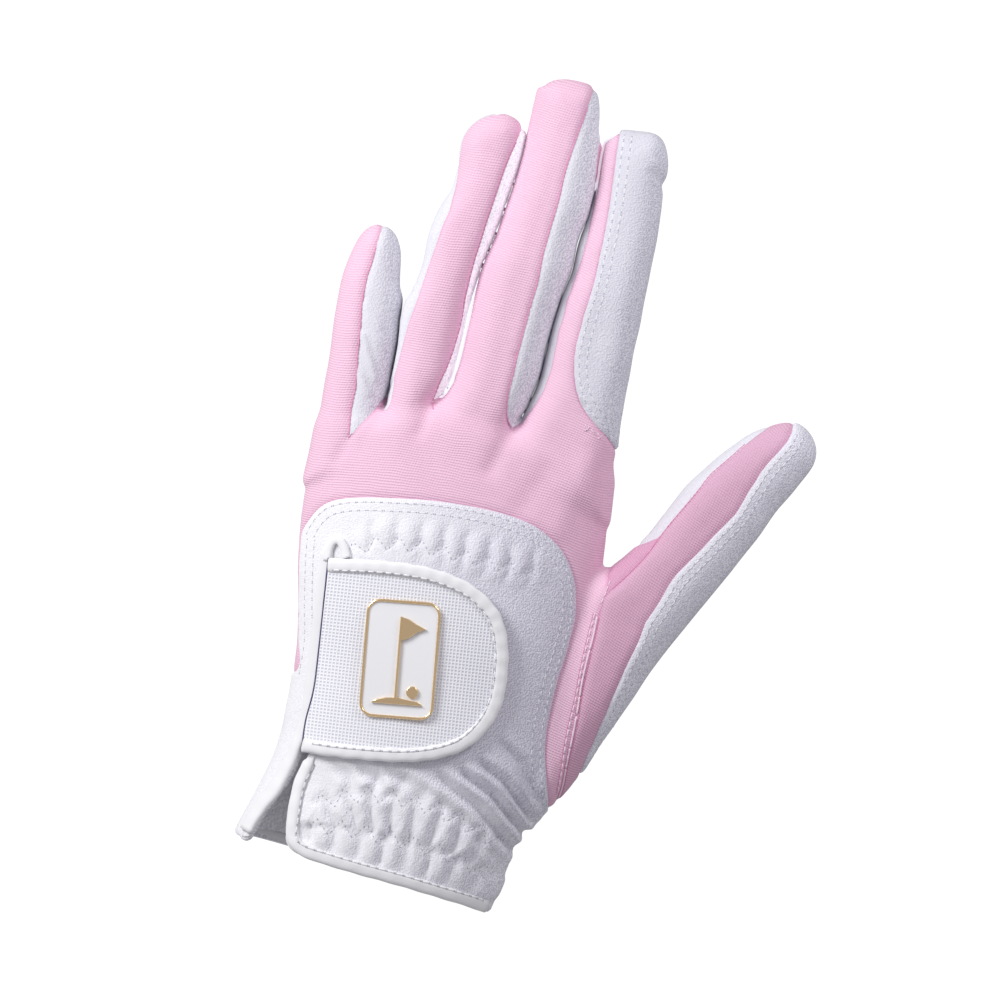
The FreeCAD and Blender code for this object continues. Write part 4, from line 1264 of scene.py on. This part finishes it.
PANEL_MATERIALS = {
    "back_panel": "knit_pink", "thumb_back": "knit_pink_thumb",
    "thumb_gusset": "knit_pink_gusset", "wrist_panel": "suede_white",
    "index_overlay": "suede_overlay", "thumb_overlay": "suede_overlay_thumb",
    "thumb_fourchette": "suede_side", "crotch_little_ring": "suede_side",
    "crotch_little_ring_side": "suede_side", "crotch_ring_middle_side": "suede_side_through",
    "crotch_middle_index_side": "suede_side_through", "crotch_ring_middle": "suede_side_light",
    "crotch_middle_index": "suede_side", "palm_panel": "leather_white",
    "thumb_palm": "leather_white"}
PANEL_SLOTS = {"knit": "knit_pink", "suede": "suede_white", "leather": "leather_white"}
FINGER_PIECES = {"back_panel": "_back", "palm_panel": "_palm", "index_overlay": "_overlay"}


def pieces_for(panel, body):
    """The CAD pieces that this stretch of a panel stands for."""
    if body == "hand":
        return [panel] if panel in ("back_panel", "palm_panel", "wrist_panel") else []
    finger = body.split("_")[0]
    piece = None
    if finger == "thumb":
        if panel == "thumb_gusset":
            piece = panel
        elif panel in ("thumb_back", "thumb_overlay", "thumb_palm"):
            piece = body + panel[len("thumb"):]
    elif panel in FINGER_PIECES:
        piece = body + FINGER_PIECES[panel]
    elif panel.startswith("crotch"):
        radial = not panel.endswith("_side") and panel.split("_")[1] == finger
        piece = body + "_fourchette_" + ("radial" if radial else "ulnar")
    return [piece] if piece in CAD_PIECES else []


def build_panels():
    """Makes every panel, and returns a search tree of their outer faces."""
    all_places, all_faces, count = [], [], 0
    for name, (rows, faces) in PANELS.items():
        if not len(faces):
            continue
        seam = seam_distance(rows, faces)
        full = finished_rows(rows, relief(name, rows[:, PLACE], seam), faces, seam)
        all_places.append(full[:, PLACE])
        all_faces.append(faces + count)
        count += len(full)
        material = PANEL_MATERIALS[name]
        slot = PANEL_SLOTS[material.split("_")[0]]
        for body, part in split_bodies(full, faces).items():
            part_rows, part_faces = drop_crumbs(*part, least=3)
            if len(part_faces):
                shell("%s.%s" % (name, body), part_rows, part_faces, material, body,
                      pieces_for(name, body), slot)
    return search_tree(np.vstack(all_places), np.vstack(all_faces))


def search_tree(places, faces):
    return BVHTree.FromPolygons([tuple(p) for p in places],
                                [tuple(int(i) for i in face) for face in faces])


def tree_of(*objects):
    """A search tree of finished objects, in mm."""
    places, faces = [], []
    for obj in objects:
        first = len(places)
        places += [tuple(vertex.co * 1000) for vertex in obj.data.vertices]
        faces += [tuple(i + first for i in face.vertices) for face in obj.data.polygons]
    return BVHTree.FromPolygons(places, faces)


PANEL_TREE = build_panels()
SKIN_TREE = search_tree(skin, skin_faces)


def drop(points, tree=PANEL_TREE):
    """Lays plane points onto the glove from above: places and normals."""
    places, normals = [], []
    for x, y in points:
        hit = tree.ray_cast(Vector((x, y, 80)), Vector((0, 0, -1)))
        if hit[0] is None:
            hit = tree.find_nearest(Vector((x, y, 14)))
        places.append(hit[0])
        normals.append(hit[1] if hit[1].z > 0 else -hit[1])
    return np.array(places, float), unit(relax(np.array(normals, float), 2))


# ------------------------------------------------------------------ tapes and tubes
def frames(path, normals, closed=False):
    """Sideways and upward directions along a path."""
    step = np.roll(path, -1, 0) - np.roll(path, 1, 0) if closed else np.gradient(path, axis=0)
    way = unit(step)
    side = unit(np.cross(way, normals))
    return side, np.cross(side, way)


def tube_faces(rings, sides, first=0, closed=False):
    faces = []
    for i in range(rings if closed else rings - 1):
        a, b = first + i * sides, first + ((i + 1) % rings) * sides
        for j in range(sides):
            k = (j + 1) % sides
            faces += [(a + j, a + k, b + k), (a + j, b + k, b + j)]
    return faces


def outward(places, faces):
    """Turns a closed mesh's faces outwards."""
    a, b, c = (places[faces[:, i]] - places.mean(0) for i in range(3))
    return faces[:, ::-1].copy() if np.einsum("ij,ij->i", a, np.cross(b, c)).sum() < 0 else faces


def sweep(name, path, normals, section, body, piece=None, material="binding_white", slot=None,
          closed=False, scale=None):
    """A closed section (across, up) carried along a path; scale is (across, up) per station."""
    side, up = frames(path, normals, closed)
    shaped = np.array(section, float)
    if scale is not None:
        shaped = shaped * scale[:, None]
    rings, sides = len(path), len(section)
    places = path[:, None] + shaped[..., :1] * side[:, None] + shaped[..., 1:] * up[:, None]
    places = places.reshape(-1, 3)
    faces = tube_faces(rings, sides, closed=closed)
    if not closed:
        start, last = len(places), (rings - 1) * sides
        places = np.vstack([places, places[:sides].mean(0), places[-sides:].mean(0)])
        for j in range(sides):
            k = (j + 1) % sides
            faces += [(start, k, j), (start + 1, last + j, last + k)]
    return make_object(name, places, outward(places, np.array(faces)), material, body,
                       [piece] if piece else [], slot)


def tape(width, height, depth, count=18):
    """Section of a folded tape, rounded over; depth is how far it reaches down."""
    out = []
    for i in range(count):
        cos, sin = math.cos(TURN * i / count), math.sin(TURN * i / count)
        reach = height if sin > 0 else depth
        out.append((width / 2 * math.copysign(abs(cos) ** 0.7, cos),
                    reach * math.copysign(abs(sin) ** 0.8, sin)))
    return out


def wander(count, amount):
    """A slight unevenness of a tape's width and height, per station."""
    i = np.arange(count)
    return np.stack([1 + amount * np.sin(i * 0.9), 1 + amount * 1.4 * np.sin(i * 0.9 * 1.37 + 1)],
                    1)


# ------------------------------------------------------------------ tab, patches and elastics
TAB_BINDING = 3.3     # width of the tape round the tab
TAB_LINE = smooth_line(TAB_EDGE, 0.7, 3)
TAB_SHAPE = np.vstack([TAB_LINE, smooth_line(TAB_HINGE, 0.8, 2)[1:-1]])
LOOP_PATCH = [(-17.0, 8.0), (4.0, 8.0), (9.0, 4.0), (11.5, -4.0), (11.0, -13.0), (7.0, -20.0),
              (0.0, -24.0), (-16.0, -25.5)]
HOOK_PATCH = [(-11.9, 5.3), (2.5, 4.9), (6.5, 1.5), (8.7, -5.0), (8.3, -12.0), (4.7, -17.9),
              (-1.1, -21.3), (-11.5, -22.5)]
UPPER_ELASTIC = np.array([(-20, 18.0), (20, 17.0), (20, 23.0), (-20, 24.0)])
WRIST_ELASTIC = np.array([(-20, -50.0), (23, -51.5), (23, -39.5), (-20, -39.0)])


def patch(name, outline, low, high, material, body, piece, under_binding=False):
    """A sheet over the part of the skin under an outline, between two heights above it."""
    x0, y0 = outline.min(0) - 2
    x1, y1 = outline.max(0) + 2
    x, y, z = skin.T
    near = (x > x0) & (x < x1) & (y > y0) & (y < y1) & (z > 14)
    rows, faces = compact(np.hstack([skin, skin_normals]), skin_faces[near[skin_faces].all(1)])
    value = -line_distance(outline, rows[:, 0], rows[:, 1])
    if under_binding:
        to_edge = line_distance(TAB_LINE, rows[:, 0], rows[:, 1], closed=False)
        value = np.minimum(value, to_edge - 1.6)
    rows, faces = clip(rows, faces, value)[0]
    inside = -line_distance(outline, rows[:, 0], rows[:, 1])
    full = finished_rows(rows, np.full(len(rows), high), faces, np.maximum(inside, 0) + 3)
    return shell(name, full, faces, material, body, [piece], material, high - low)


tab_mesh = patch("closure_tab_mesh", TAB_SHAPE, 1.75, 2.15, "mesh_white", "closure_tab",
                 "tab_panel", under_binding=True)
patch("closure_tab_backing", TAB_SHAPE, 1.35, 1.70, "leather_white", "closure_tab",
      "tab_backing", under_binding=True)
patch("loop_patch_pile", spline(LOOP_PATCH, 1.0, True), 0.30, 0.82, "loop_white", "hand",
      "loop_patch")
patch("hook_patch_pile", spline(HOOK_PATCH, 1.0, True), 0.92, 1.34, "hook_white", "closure_tab",
      "hook_patch")
patch("upper_elastic_band", UPPER_ELASTIC, -1.75, -1.35, "elastic_white", "hand",
      "upper_elastic")
patch("wrist_elastic_band", WRIST_ELASTIC, -1.75, -1.35, "elastic_white", "hand",
      "wrist_elastic")


# ------------------------------------------------------------------ bindings
def bind_tab():
    places, normals = drop(shift_right(TAB_LINE, TAB_BINDING / 2), SKIN_TREE)
    normals = unit(relax(normals, 4))
    return sweep("closure_tab_binding", places + normals * 1.95, normals,
                 tape(TAB_BINDING, 0.95, 0.75), "closure_tab", "tab_binding",
                 scale=wander(len(places), 0.05))


def bind_slit():
    """A broad rolled tape on the -X side of the slit, and a loop round the slit's upper end."""
    line = [(-29.0, 15.0)] + SLIT_LEFT[:9] + [(-28.9, -43.0), (-31.4, -48.2), (-33.1, -53.6)]
    line = shift_right(smooth_line(line, 0.9, 3), 1.0)
    places, normals = drop(line, SKIN_TREE)
    normals = relax(normals, 5)
    y = line[:, 1]
    # wider towards the hem, flatter under the tab
    shape = np.stack([1.0 + 0.25 * (1 - ease(-44, -32, y)), 1.0 - 0.55 * ease(-32, -24, y)], 1)
    sweep("slit_binding_flap", places + normals * 0.75, normals, tape(3.4, 0.95, 0.8), "hand",
          "slit_binding", scale=wander(len(places), 0.03) * shape)
    loop = [(-29.3, 12.6), (-29.5, 15.4), (-28.9, 17.6), (-27.6, 18.0), (-26.3, 16.6),
            (-25.0, 14.2)]
    places, normals = drop(smooth_line(loop, 0.5, 2), SKIN_TREE)
    sweep("slit_binding_loop", places + normals * 0.85, normals, tape(2.1, 0.75, 0.5), "hand",
          "slit_binding")


def bind_cuff_back():
    """One tape down the +X side of the slit, round the corner and along the hem."""
    line = [(-26.9, 12.0)] + SLIT_RIGHT[1:12] + [(-25.1, -51.9), (-24.1, -54.0), (-21.4, -55.3)]
    line = shift_right(smooth_line(line + HEM + [(23.6, -59.5)], 0.9, 3), -1.15)
    places, normals = drop(line)
    places, normals = relax(places, 10), unit(relax(normals, 10))
    # thin where it lies under the tab
    shape = np.where(line[:, 1:] < -34.5, [1.0, 1.0], [0.6, 0.35])
    binding = sweep("cuff_binding_back", places + normals * 0.15, normals, tape(3.0, 0.95, 0.9),
                    "hand", "cuff_binding", scale=wander(len(places), 0.035) * shape)
    return line, binding


def bind_cuff_palm():
    """A tape along the longest run of the palm panel's border that lies on the hem."""
    rows, faces = PANELS["palm_panel"]
    following = {int(a): int(b) for a, b in border(faces)}
    on_hem = {a for a in following if abs(rows[a, 1] - palm_hem(rows[a, 0])) < 0.05}
    reached = {following[a] for a in on_hem}
    longest = []
    for start in [a for a in on_hem if a not in reached]:
        run = [start]
        while run[-1] in following and following[run[-1]] in on_hem and len(run) < 3000:
            run.append(following[run[-1]])
        if len(run) > len(longest):
            longest = run
    arc = arc_length(rows[longest, PLACE])
    path = relax(pick(np.arange(0, arc[-1], 1.0), arc, rows[longest, :6]), 4)
    places, normals = path[2:-2, PLACE], unit(path[2:-2, NORMAL])
    sweep("cuff_binding_palm", places + np.array([0, 1.15, 0]), normals, tape(3.0, 0.8, 0.9),
          "hand", "cuff_binding")


def bind_cuff_flap():
    """The little stretch of hem on the -X side of the slit."""
    line = [(-35.1, -53.9), (-34.5, -54.1), (-33.9, -53.8), (-33.4, -53.2)]
    places, normals = drop(smooth_line(line, 0.6, 2))
    sweep("cuff_binding_flap", places + normals * 0.05, normals, tape(1.5, 0.22, 0.3), "hand",
          "cuff_binding")


tab_binding = bind_tab()
bind_slit()
cuff_line, cuff_binding = bind_cuff_back()
bind_cuff_palm()
bind_cuff_flap()

# ------------------------------------------------------------------ badge
# a white plate in a gold frame with a flag, a ball and the ground under them
HALF_WIDTH = np.linalg.norm(BADGE_CORNERS[1] - BADGE_CORNERS[0]) / 2
HALF_HEIGHT = np.linalg.norm(BADGE_CORNERS[2] - BADGE_CORNERS[1]) / 2
PLATE_TOP = 0.75
EMBLEM_SCALE, EMBLEM_RISE = 1.12, 0.3
EMBLEM = [
    ("pole", [(-0.55, -8.3), (-0.05, -8.3), (-0.05, 8.6), (-0.55, 8.6)]),
    ("flag", [(-0.1, 8.5), (1.4, 8.15), (3.0, 7.2), (5.0, 6.3), (3.2, 5.6), (1.6, 4.3),
              (-0.1, 3.6)]),
    ("green", [(-5.2, -9.6), (5.4, -9.6), (4.6, -8.9), (2.4, -8.6), (0.0, -8.2), (-2.4, -8.35),
               (-4.4, -8.9)]),
    ("ball", [(3.1 + 1.25 * math.cos(a), -6.9 + 1.25 * math.sin(a))
              for a in np.linspace(0, TURN, 19)[:-1]]),
]


def badge_frame():
    """Origin and the across, up and outward directions of the badge."""
    centre = BADGE_CORNERS.mean(0)
    across = unit(BADGE_CORNERS[1] - BADGE_CORNERS[0])
    up = np.array([-across[1], across[0]])
    spots = [tuple(centre + across * u + up * v) for u in (-6, 0, 6) for v in (-9, 0, 9)]
    normal = unit(drop(spots, SKIN_TREE)[1].mean(0))
    origin = drop([tuple(centre)], SKIN_TREE)[0][0] + normal * 2.2
    across = np.array([across[0], across[1], 0.0])
    across = unit(across - normal * (across @ normal))
    return origin, across, np.cross(normal, across), normal


BADGE_ORIGIN, BADGE_ACROSS, BADGE_UP, BADGE_NORMAL = badge_frame()


def badge_point(u, v, height):
    """A point on the badge, which is bent a little to follow the back of the hand."""
    bend = -0.0040 * u * u
    return BADGE_ORIGIN + BADGE_ACROSS * u + BADGE_UP * v + BADGE_NORMAL * (height + bend)


def round_rectangle(half_width, half_height, radius, count=7):
    out = []
    for quarter, (sign_u, sign_v) in enumerate(((1, 1), (-1, 1), (-1, -1), (1, -1))):
        for i in range(count):
            angle = math.radians(90 * quarter + 90 * i / (count - 1))
            out.append((sign_u * (half_width - radius) + radius * math.cos(angle),
                        sign_v * (half_height - radius) + radius * math.sin(angle)))
    return out


def badge_prism(name, outline, low, high, material, piece, bevel):
    """A raised flat shape with a softened rim."""
    outline = np.array(outline, float)
    centre, count = outline.mean(0), len(outline)
    way = unit(np.roll(outline, -1, 0) - np.roll(outline, 1, 0))
    inward = np.stack([-way[:, 1], way[:, 0]], 1)
    if ((outline + inward * 0.1 - centre) ** 2).sum() > ((outline - centre) ** 2).sum():
        inward = -inward
    rings = [(0, low), (0, high - bevel), (bevel * 0.4, high - bevel * 0.3), (bevel, high)]
    places = np.array([badge_point(u, v, height) for inset, height in rings
                       for u, v in outline + inward * inset])
    faces = tube_faces(len(rings), count)
    # the caps are tessellated, so that shapes which aren't convex close properly
    triangles = tessellate_polygon([[Vector((u, v, 0)) for u, v in outline]])
    top = (len(rings) - 1) * count
    faces += [tuple(top + i for i in triangle) for triangle in triangles]
    faces += [tuple(triangle[::-1]) for triangle in triangles]
    mesh = bpy.data.meshes.new(name)
    mesh.from_pydata([tuple(p) for p in places * MM], [], faces)
    bm = bmesh.new()
    bm.from_mesh(mesh)
    bmesh.ops.recalc_face_normals(bm, faces=bm.faces)
    bm.to_mesh(mesh)
    bm.free()
    add_rest(mesh, places)
    obj = link_object(name, mesh, material, "closure_tab", [piece], material)
    register(obj, "closure_tab", [piece])


def build_badge():
    plate = round_rectangle(HALF_WIDTH - 0.25, HALF_HEIGHT - 0.25, 2.6)
    badge_prism("badge_plate_white", plate, 0.0, PLATE_TOP, "badge_white", "badge_plate", 0.12)
    rim = round_rectangle(HALF_WIDTH - 0.3, HALF_HEIGHT - 0.3, 2.9, 9)
    path = np.array([badge_point(u, v, PLATE_TOP) for u, v in rim])
    wire = [(0.34 * math.cos(a), 0.42 * math.sin(a)) for a in np.linspace(0, TURN, 11)[:-1]]
    sweep("badge_frame_gold", path, np.tile(BADGE_NORMAL, (len(path), 1)), wire, "closure_tab",
          "badge_frame", "badge_gold", closed=True)
    for name, outline in EMBLEM:
        outline = [(u * EMBLEM_SCALE, v * EMBLEM_SCALE + EMBLEM_RISE) for u, v in outline]
        badge_prism("badge_emblem_" + name, outline, 0.6, 1.25, "badge_gold", "badge_emblem",
                    0.16)


build_badge()

# ------------------------------------------------------------------ stitching
STITCH_RANDOM = np.random.RandomState(7)
STITCH_JITTER = 0.06
# kind of thread: material, slot
THREADS = {"hole": ("stitch_hole", "suede_white"), "pit": ("binding_pit", "binding_white"),
           "white": ("thread_white", "binding_white"), "bind": ("thread_white", "binding_white"),
           "pink": ("thread_pink", "knit_pink"), "pale": ("thread_pale", "knit_pink")}
# rings of a short thread: place along it (beyond 0..1 in units of its width), relative radius
CAPSULE_RINGS = [(-0.5, 0.0), (-0.35, 0.62), (0.0, 0.95), (0.5, 1.0), (1.0, 0.95), (1.35, 0.62),
                 (1.5, 0.0)]
threads = {}    # (kind, body): list of (places, faces)


def add_thread(kind, body, places, faces):
    threads.setdefault((kind, body), []).append((places, faces))


def capsule(start, end, normal, radius, flat=0.8, sides=6):
    """A short thread lying from start to end, diving at both ends."""
    length = np.linalg.norm(end - start)
    way = (end - start) / length
    side = unit(np.cross(way, normal))
    normal = np.cross(side, way)
    places = []
    for t, share in CAPSULE_RINGS:
        if t < 0:
            t = t * 2 * radius / length
        elif t > 1:
            t = 1 + (t - 1) * 2 * radius / length
        centre = start + way * length * t - normal * radius * 1.1 * (1 - share)
        if share == 0:
            places.append(centre)
            continue
        for j in range(sides):
            angle = TURN * j / sides
            spoke = side * math.cos(angle) + normal * math.sin(angle) * flat
            places.append(centre + spoke * radius * share)
    rings = len(CAPSULE_RINGS) - 2
    last, ring = len(places) - 1, 1 + (rings - 1) * sides
    faces = [(0, 1 + (j + 1) % sides, 1 + j) for j in range(sides)]
    faces += tube_faces(rings, sides, first=1)
    faces += [(last, ring + j, ring + (j + 1) % sides) for j in range(sides)]
    return np.array(places), np.array(faces)


def walk(line, step):
    """Even steps along a line."""
    line = np.array(line, float)
    arc = arc_length(line)
    return pick(np.arange(0.0, arc[-1], step), arc, line)


def run_stitch(line, length, gap, radius, kind="white", lift=-0.02, hole=True, body=None,
               tree=PANEL_TREE, hole_radius=None):
    """Running stitch along a plane line laid on the glove, with a hole at each thread end."""
    # lines of 200 points or more are dense enough as they are
    places, normals = drop(walk(spline(line, 0.4) if len(line) < 200 else line, 0.2), tree)
    arc = arc_length(places)
    bodies = bodies_at(places)
    hole_kind = "pit" if kind == "bind" else "hole"
    t = gap / 2
    while t + length < arc[-1]:
        first = t + STITCH_RANDOM.uniform(-STITCH_JITTER, STITCH_JITTER)
        last = t + length + STITCH_RANDOM.uniform(-STITCH_JITTER, STITCH_JITTER)
        middle = (first + last) / 2
        start, end = pick(first, arc, places), pick(last, arc, places)
        normal = unit(pick(middle, arc, normals))
        on_body = body or bodies[int(np.searchsorted(arc, middle)) - 1]
        add_thread(kind, on_body, *capsule(start + normal * lift, end + normal * lift, normal,
                                           radius))
        # a small grey capsule at each thread end marks the needle hole; its grey is painted shade
        if hole:
            way = unit(end - start)
            for place, sign in ((start, -1), (end, 1)):
                centre = place + way * sign * (gap * 0.22) + normal * (lift * 0.6 + 0.03)
                add_thread(hole_kind, on_body, *capsule(
                    centre - way * 0.10, centre + way * 0.10, normal,
                    hole_radius or radius * 1.25, flat=0.35))
        t += length + gap


def cord(line, radius, kind="pink", lift=-0.02, bumps=0.35, pitch=1.05, sides=5):
    """A thin knobbly thread along a plane line, one length per body."""
    step = 0.35
    places, normals = drop(walk(spline(line, 0.5), step))
    bodies = bodies_at(places)
    angle = TURN * np.arange(sides) / sides
    start = 0
    while start < len(places) - 1:
        stop = start + 1
        while stop < len(places) and bodies[stop] == bodies[start]:
            stop += 1
        last = min(stop, len(places) - 1)
        if last - start >= 2:
            path = places[start:last + 1]
            side, up = (v[:, None] for v in frames(path, normals[start:last + 1]))
            thick = radius * (1 + bumps * np.sin(TURN * np.arange(start, last + 1) * step / pitch))
            thick[[0, -1]] *= 0.4
            spokes = side * np.cos(angle)[:, None] + up * np.sin(angle)[:, None]
            points = path[:, None] + up * lift + spokes * thick[:, None, None]
            points = points.reshape(-1, 3)
            end = (len(path) - 1) * sides
            faces = tube_faces(len(path), sides)
            faces += [(0, m + 1, m) for m in range(1, sides - 1)]
            faces += [(end, end + m, end + m + 1) for m in range(1, sides - 1)]
            add_thread(kind, bodies[start], points, outward(points, np.array(faces)))
        start = stop


def build_threads():
    for (kind, body), items in sorted(threads.items(), key=lambda item: item[0]):
        all_places, all_faces, count = [], [], 0
        for places, faces in items:
            all_places.append(places)
            all_faces.append(faces + count)
            count += len(places)
        material, slot = THREADS[kind]
        make_object("stitch_%s.%s" % (kind, body), np.vstack(all_places), np.vstack(all_faces),
                    material, body, slot=slot)


# double rows beside the seams: line, shifts to its right, stitch, gap, body
DOUBLE_ROWS = [
    (WRIST_OUTLINE[:28], (1.15, 3.1), 1.15, 0.85, "hand"),
    (WRIST_OUTLINE[-4:] + WRIST_OUTLINE[:1], (1.4, 3.2), 1.15, 0.85, "hand"),
    (INDEX_OVERLAY_EDGE[1:-1], (-1.2, -3.0), 1.2, 1.0, None),
    (THUMB_OVERLAY_SEAM[2:-2], (-1.3, -3.0), 1.1, 0.8, None)]
for line, shifts, length, gap, body in DOUBLE_ROWS:
    for shift in shifts:
        run_stitch(shift_right(smooth_line(line, 0.8, 2), shift), length, gap, 0.13, body=body)
# dashed row beside the thumb seam, pale thread on the knit
run_stitch(THUMB_STITCH_ROW, 1.15, 0.85, 0.20, "pale", lift=0.12, hole=False, body="hand")
run_stitch([(36.1, 22.5), (35.3, 18.0), (34.9, 15.2)], 1.0, 0.6, 0.17, "pale", lift=0.10,
           hole=False, body="hand")
for row in (UPPER_ZIGZAG, WRIST_ZIGZAG, HEM_ZIGZAG):
    run_stitch(zigzag(*row), 0.95, 0.45, 0.12, body="hand", hole_radius=0.145)
# rows on the bindings of the tab and the cuff
run_stitch(shift_right(TAB_LINE, TAB_BINDING - 0.62), 1.25, 0.85, 0.19, "bind", lift=0.06,
           hole_radius=0.25, body="closure_tab", tree=tree_of(tab_mesh, tab_binding))
cuff_row = shift_right(cuff_line, -1.15)
run_stitch(cuff_row[cuff_row[:, 1] < -33.5], 1.3, 0.85, 0.19, "bind", lift=0.06,
           hole_radius=0.25, body="hand", tree=tree_of(cuff_binding))

# seam cords: the thread that darkens the knit's edges
for line, radius in ((LITTLE_SEAM[1:-2], 0.17), (RING_RIGHT_SEAM[:-2], 0.17),
                     (MIDDLE_RIGHT_SEAM[1:-2], 0.18), (THUMB_BACK_SEAM[2:-4], 0.15)):
    cord(smooth_line(line, 0.8, 2), radius)
cord([(45.0, 34.8), (43.6, 31.3), (41.9, 28.1), (39.2, 23.9), (36.6, 20.3)], 0.14)
cord(HAND_THUMB_SEAM[2:12], 0.28, "pale", lift=0.12, bumps=0.06, pitch=3.0)
# painted shade: two thin dark pink threads, one on the +X flank of the pale welt cord and one
# beside the pale dashes
cord([(x + 0.5, y) for x, y in HAND_THUMB_SEAM[2:12]], 0.14, lift=0.0)
cord([(x - 0.32, y) for x, y in THUMB_STITCH_ROW], 0.10)

# loose thread ends below the index overlay
for ends in (((22.4, 56.8), (23.2, 55.6)), ((23.4, 56.4), (22.6, 55.3)),
             ((25.6, 55.4), (26.6, 54.5)), ((26.8, 55.2), (26.0, 54.2)),
             ((24.0, 55.9), (24.9, 55.0))):
    places, normals = drop(ends)
    start, end = places + normals * 0.12
    add_thread("pale", "hand", *capsule(start, end, normals[0], 0.12))

# painted shadow: a dark strip along the tab's hinge stands for the shade in the gap there
hinge = smooth_line([(x - 0.25, y) for x, y in TAB_HINGE[::-1]], 0.8, 2)
places, normals = drop(hinge, SKIN_TREE)
sweep("tab_hinge_painted_shadow", places + normals * 1.95, normals, tape(0.42, 0.16, 0.3), "closure_tab",
      material="seam_shadow", slot="binding_white")
build_threads()


# ------------------------------------------------------------------ stage (metres)
def add_camera():
    """Looks straight down, turned about the vertical so that the glove leans in the picture."""
    camera = bpy.data.cameras.new("camera")
    obj = bpy.data.objects.new("camera", camera)
    bpy.context.scene.collection.objects.link(obj)
    camera.sensor_width, camera.lens = 36, 210
    view_width, aim_height = 0.235, 0.018
    distance = view_width * camera.lens / camera.sensor_width
    place = Matrix.Translation((0.00665, 0.0352, distance + aim_height))
    obj.matrix_world = place @ Matrix.Rotation(math.radians(12.5), 4, "Z")
    camera.clip_end = 50
    bpy.context.scene.camera = obj


def floor_material():
    """White to the camera, with painted shade only close under the glove."""
    mat = Shader("floor_white")
    mat.set({"Base Color": (0.9, 0.9, 0.9), "Roughness": 1.0})
    emission = mat.node("Emission")
    mat.feed(emission.inputs["Color"], (1, 1, 1))
    occlusion = mat.node("AmbientOcclusion", samples=8)
    occlusion.inputs["Distance"].default_value = 0.007
    # painted shade: the floor's glow to the camera dims where ambient occlusion finds the glove
    # close above
    is_open = mat.clamp(mat.math("MULTIPLY_ADD", occlusion.outputs["AO"], 6.0, -0.9))
    seen = mat.math("MULTIPLY", mat.node("LightPath").outputs["Is Camera Ray"],
                    mat.math("MULTIPLY_ADD", is_open, 0.65, 0.15))
    mat.feed(emission.inputs["Strength"], mat.math("ADD", seen, 0.35))
    mix = mat.node("MixShader")
    for i, value in enumerate((0.85, mat.bsdf.outputs[0], emission.outputs[0])):
        mat.feed(mix.inputs[i], value)
    mat.feed(mat.tree.nodes["Material Output"].inputs["Surface"], mix.outputs[0])
    return mat.material


def add_floor():
    bpy.ops.mesh.primitive_plane_add(size=6, location=(0, 0, -0.0006))
    floor = bpy.context.object
    floor.name = "floor"
    floor.data.materials.append(floor_material())


def add_light(name, place, size, energy, target, colour):
    light = bpy.data.lights.new(name, "AREA")
    light.shape = "DISK"
    light.size, light.energy, light.color = size, energy, colour
    obj = bpy.data.objects.new(name, light)
    bpy.context.scene.collection.objects.link(obj)
    obj.location = place
    way = Vector(target) - Vector(place)
    obj.rotation_euler = way.to_track_quat("-Z", "Y").to_euler()


add_camera()
add_floor()
add_light("key", place=(-0.34, 0.20, 0.235), size=0.20, energy=1.62, target=(0.01, 0.03, 0.01),
          colour=(1, 1, 1))
add_light("fill", place=(0.16, 0.25, 0.18), size=0.12, energy=0.31, target=(0.0, 0.10, 0.015),
          colour=(0.98, 0.97, 1.0))
world = bpy.data.worlds.new("world")
bpy.context.scene.world = world
world.use_nodes = True
background = world.node_tree.nodes["Background"]
background.inputs["Color"].default_value = (0.965, 0.95, 1.0, 1)
background.inputs["Strength"].default_value = 0.43
bpy.context.scene.view_settings.view_transform = "Standard"
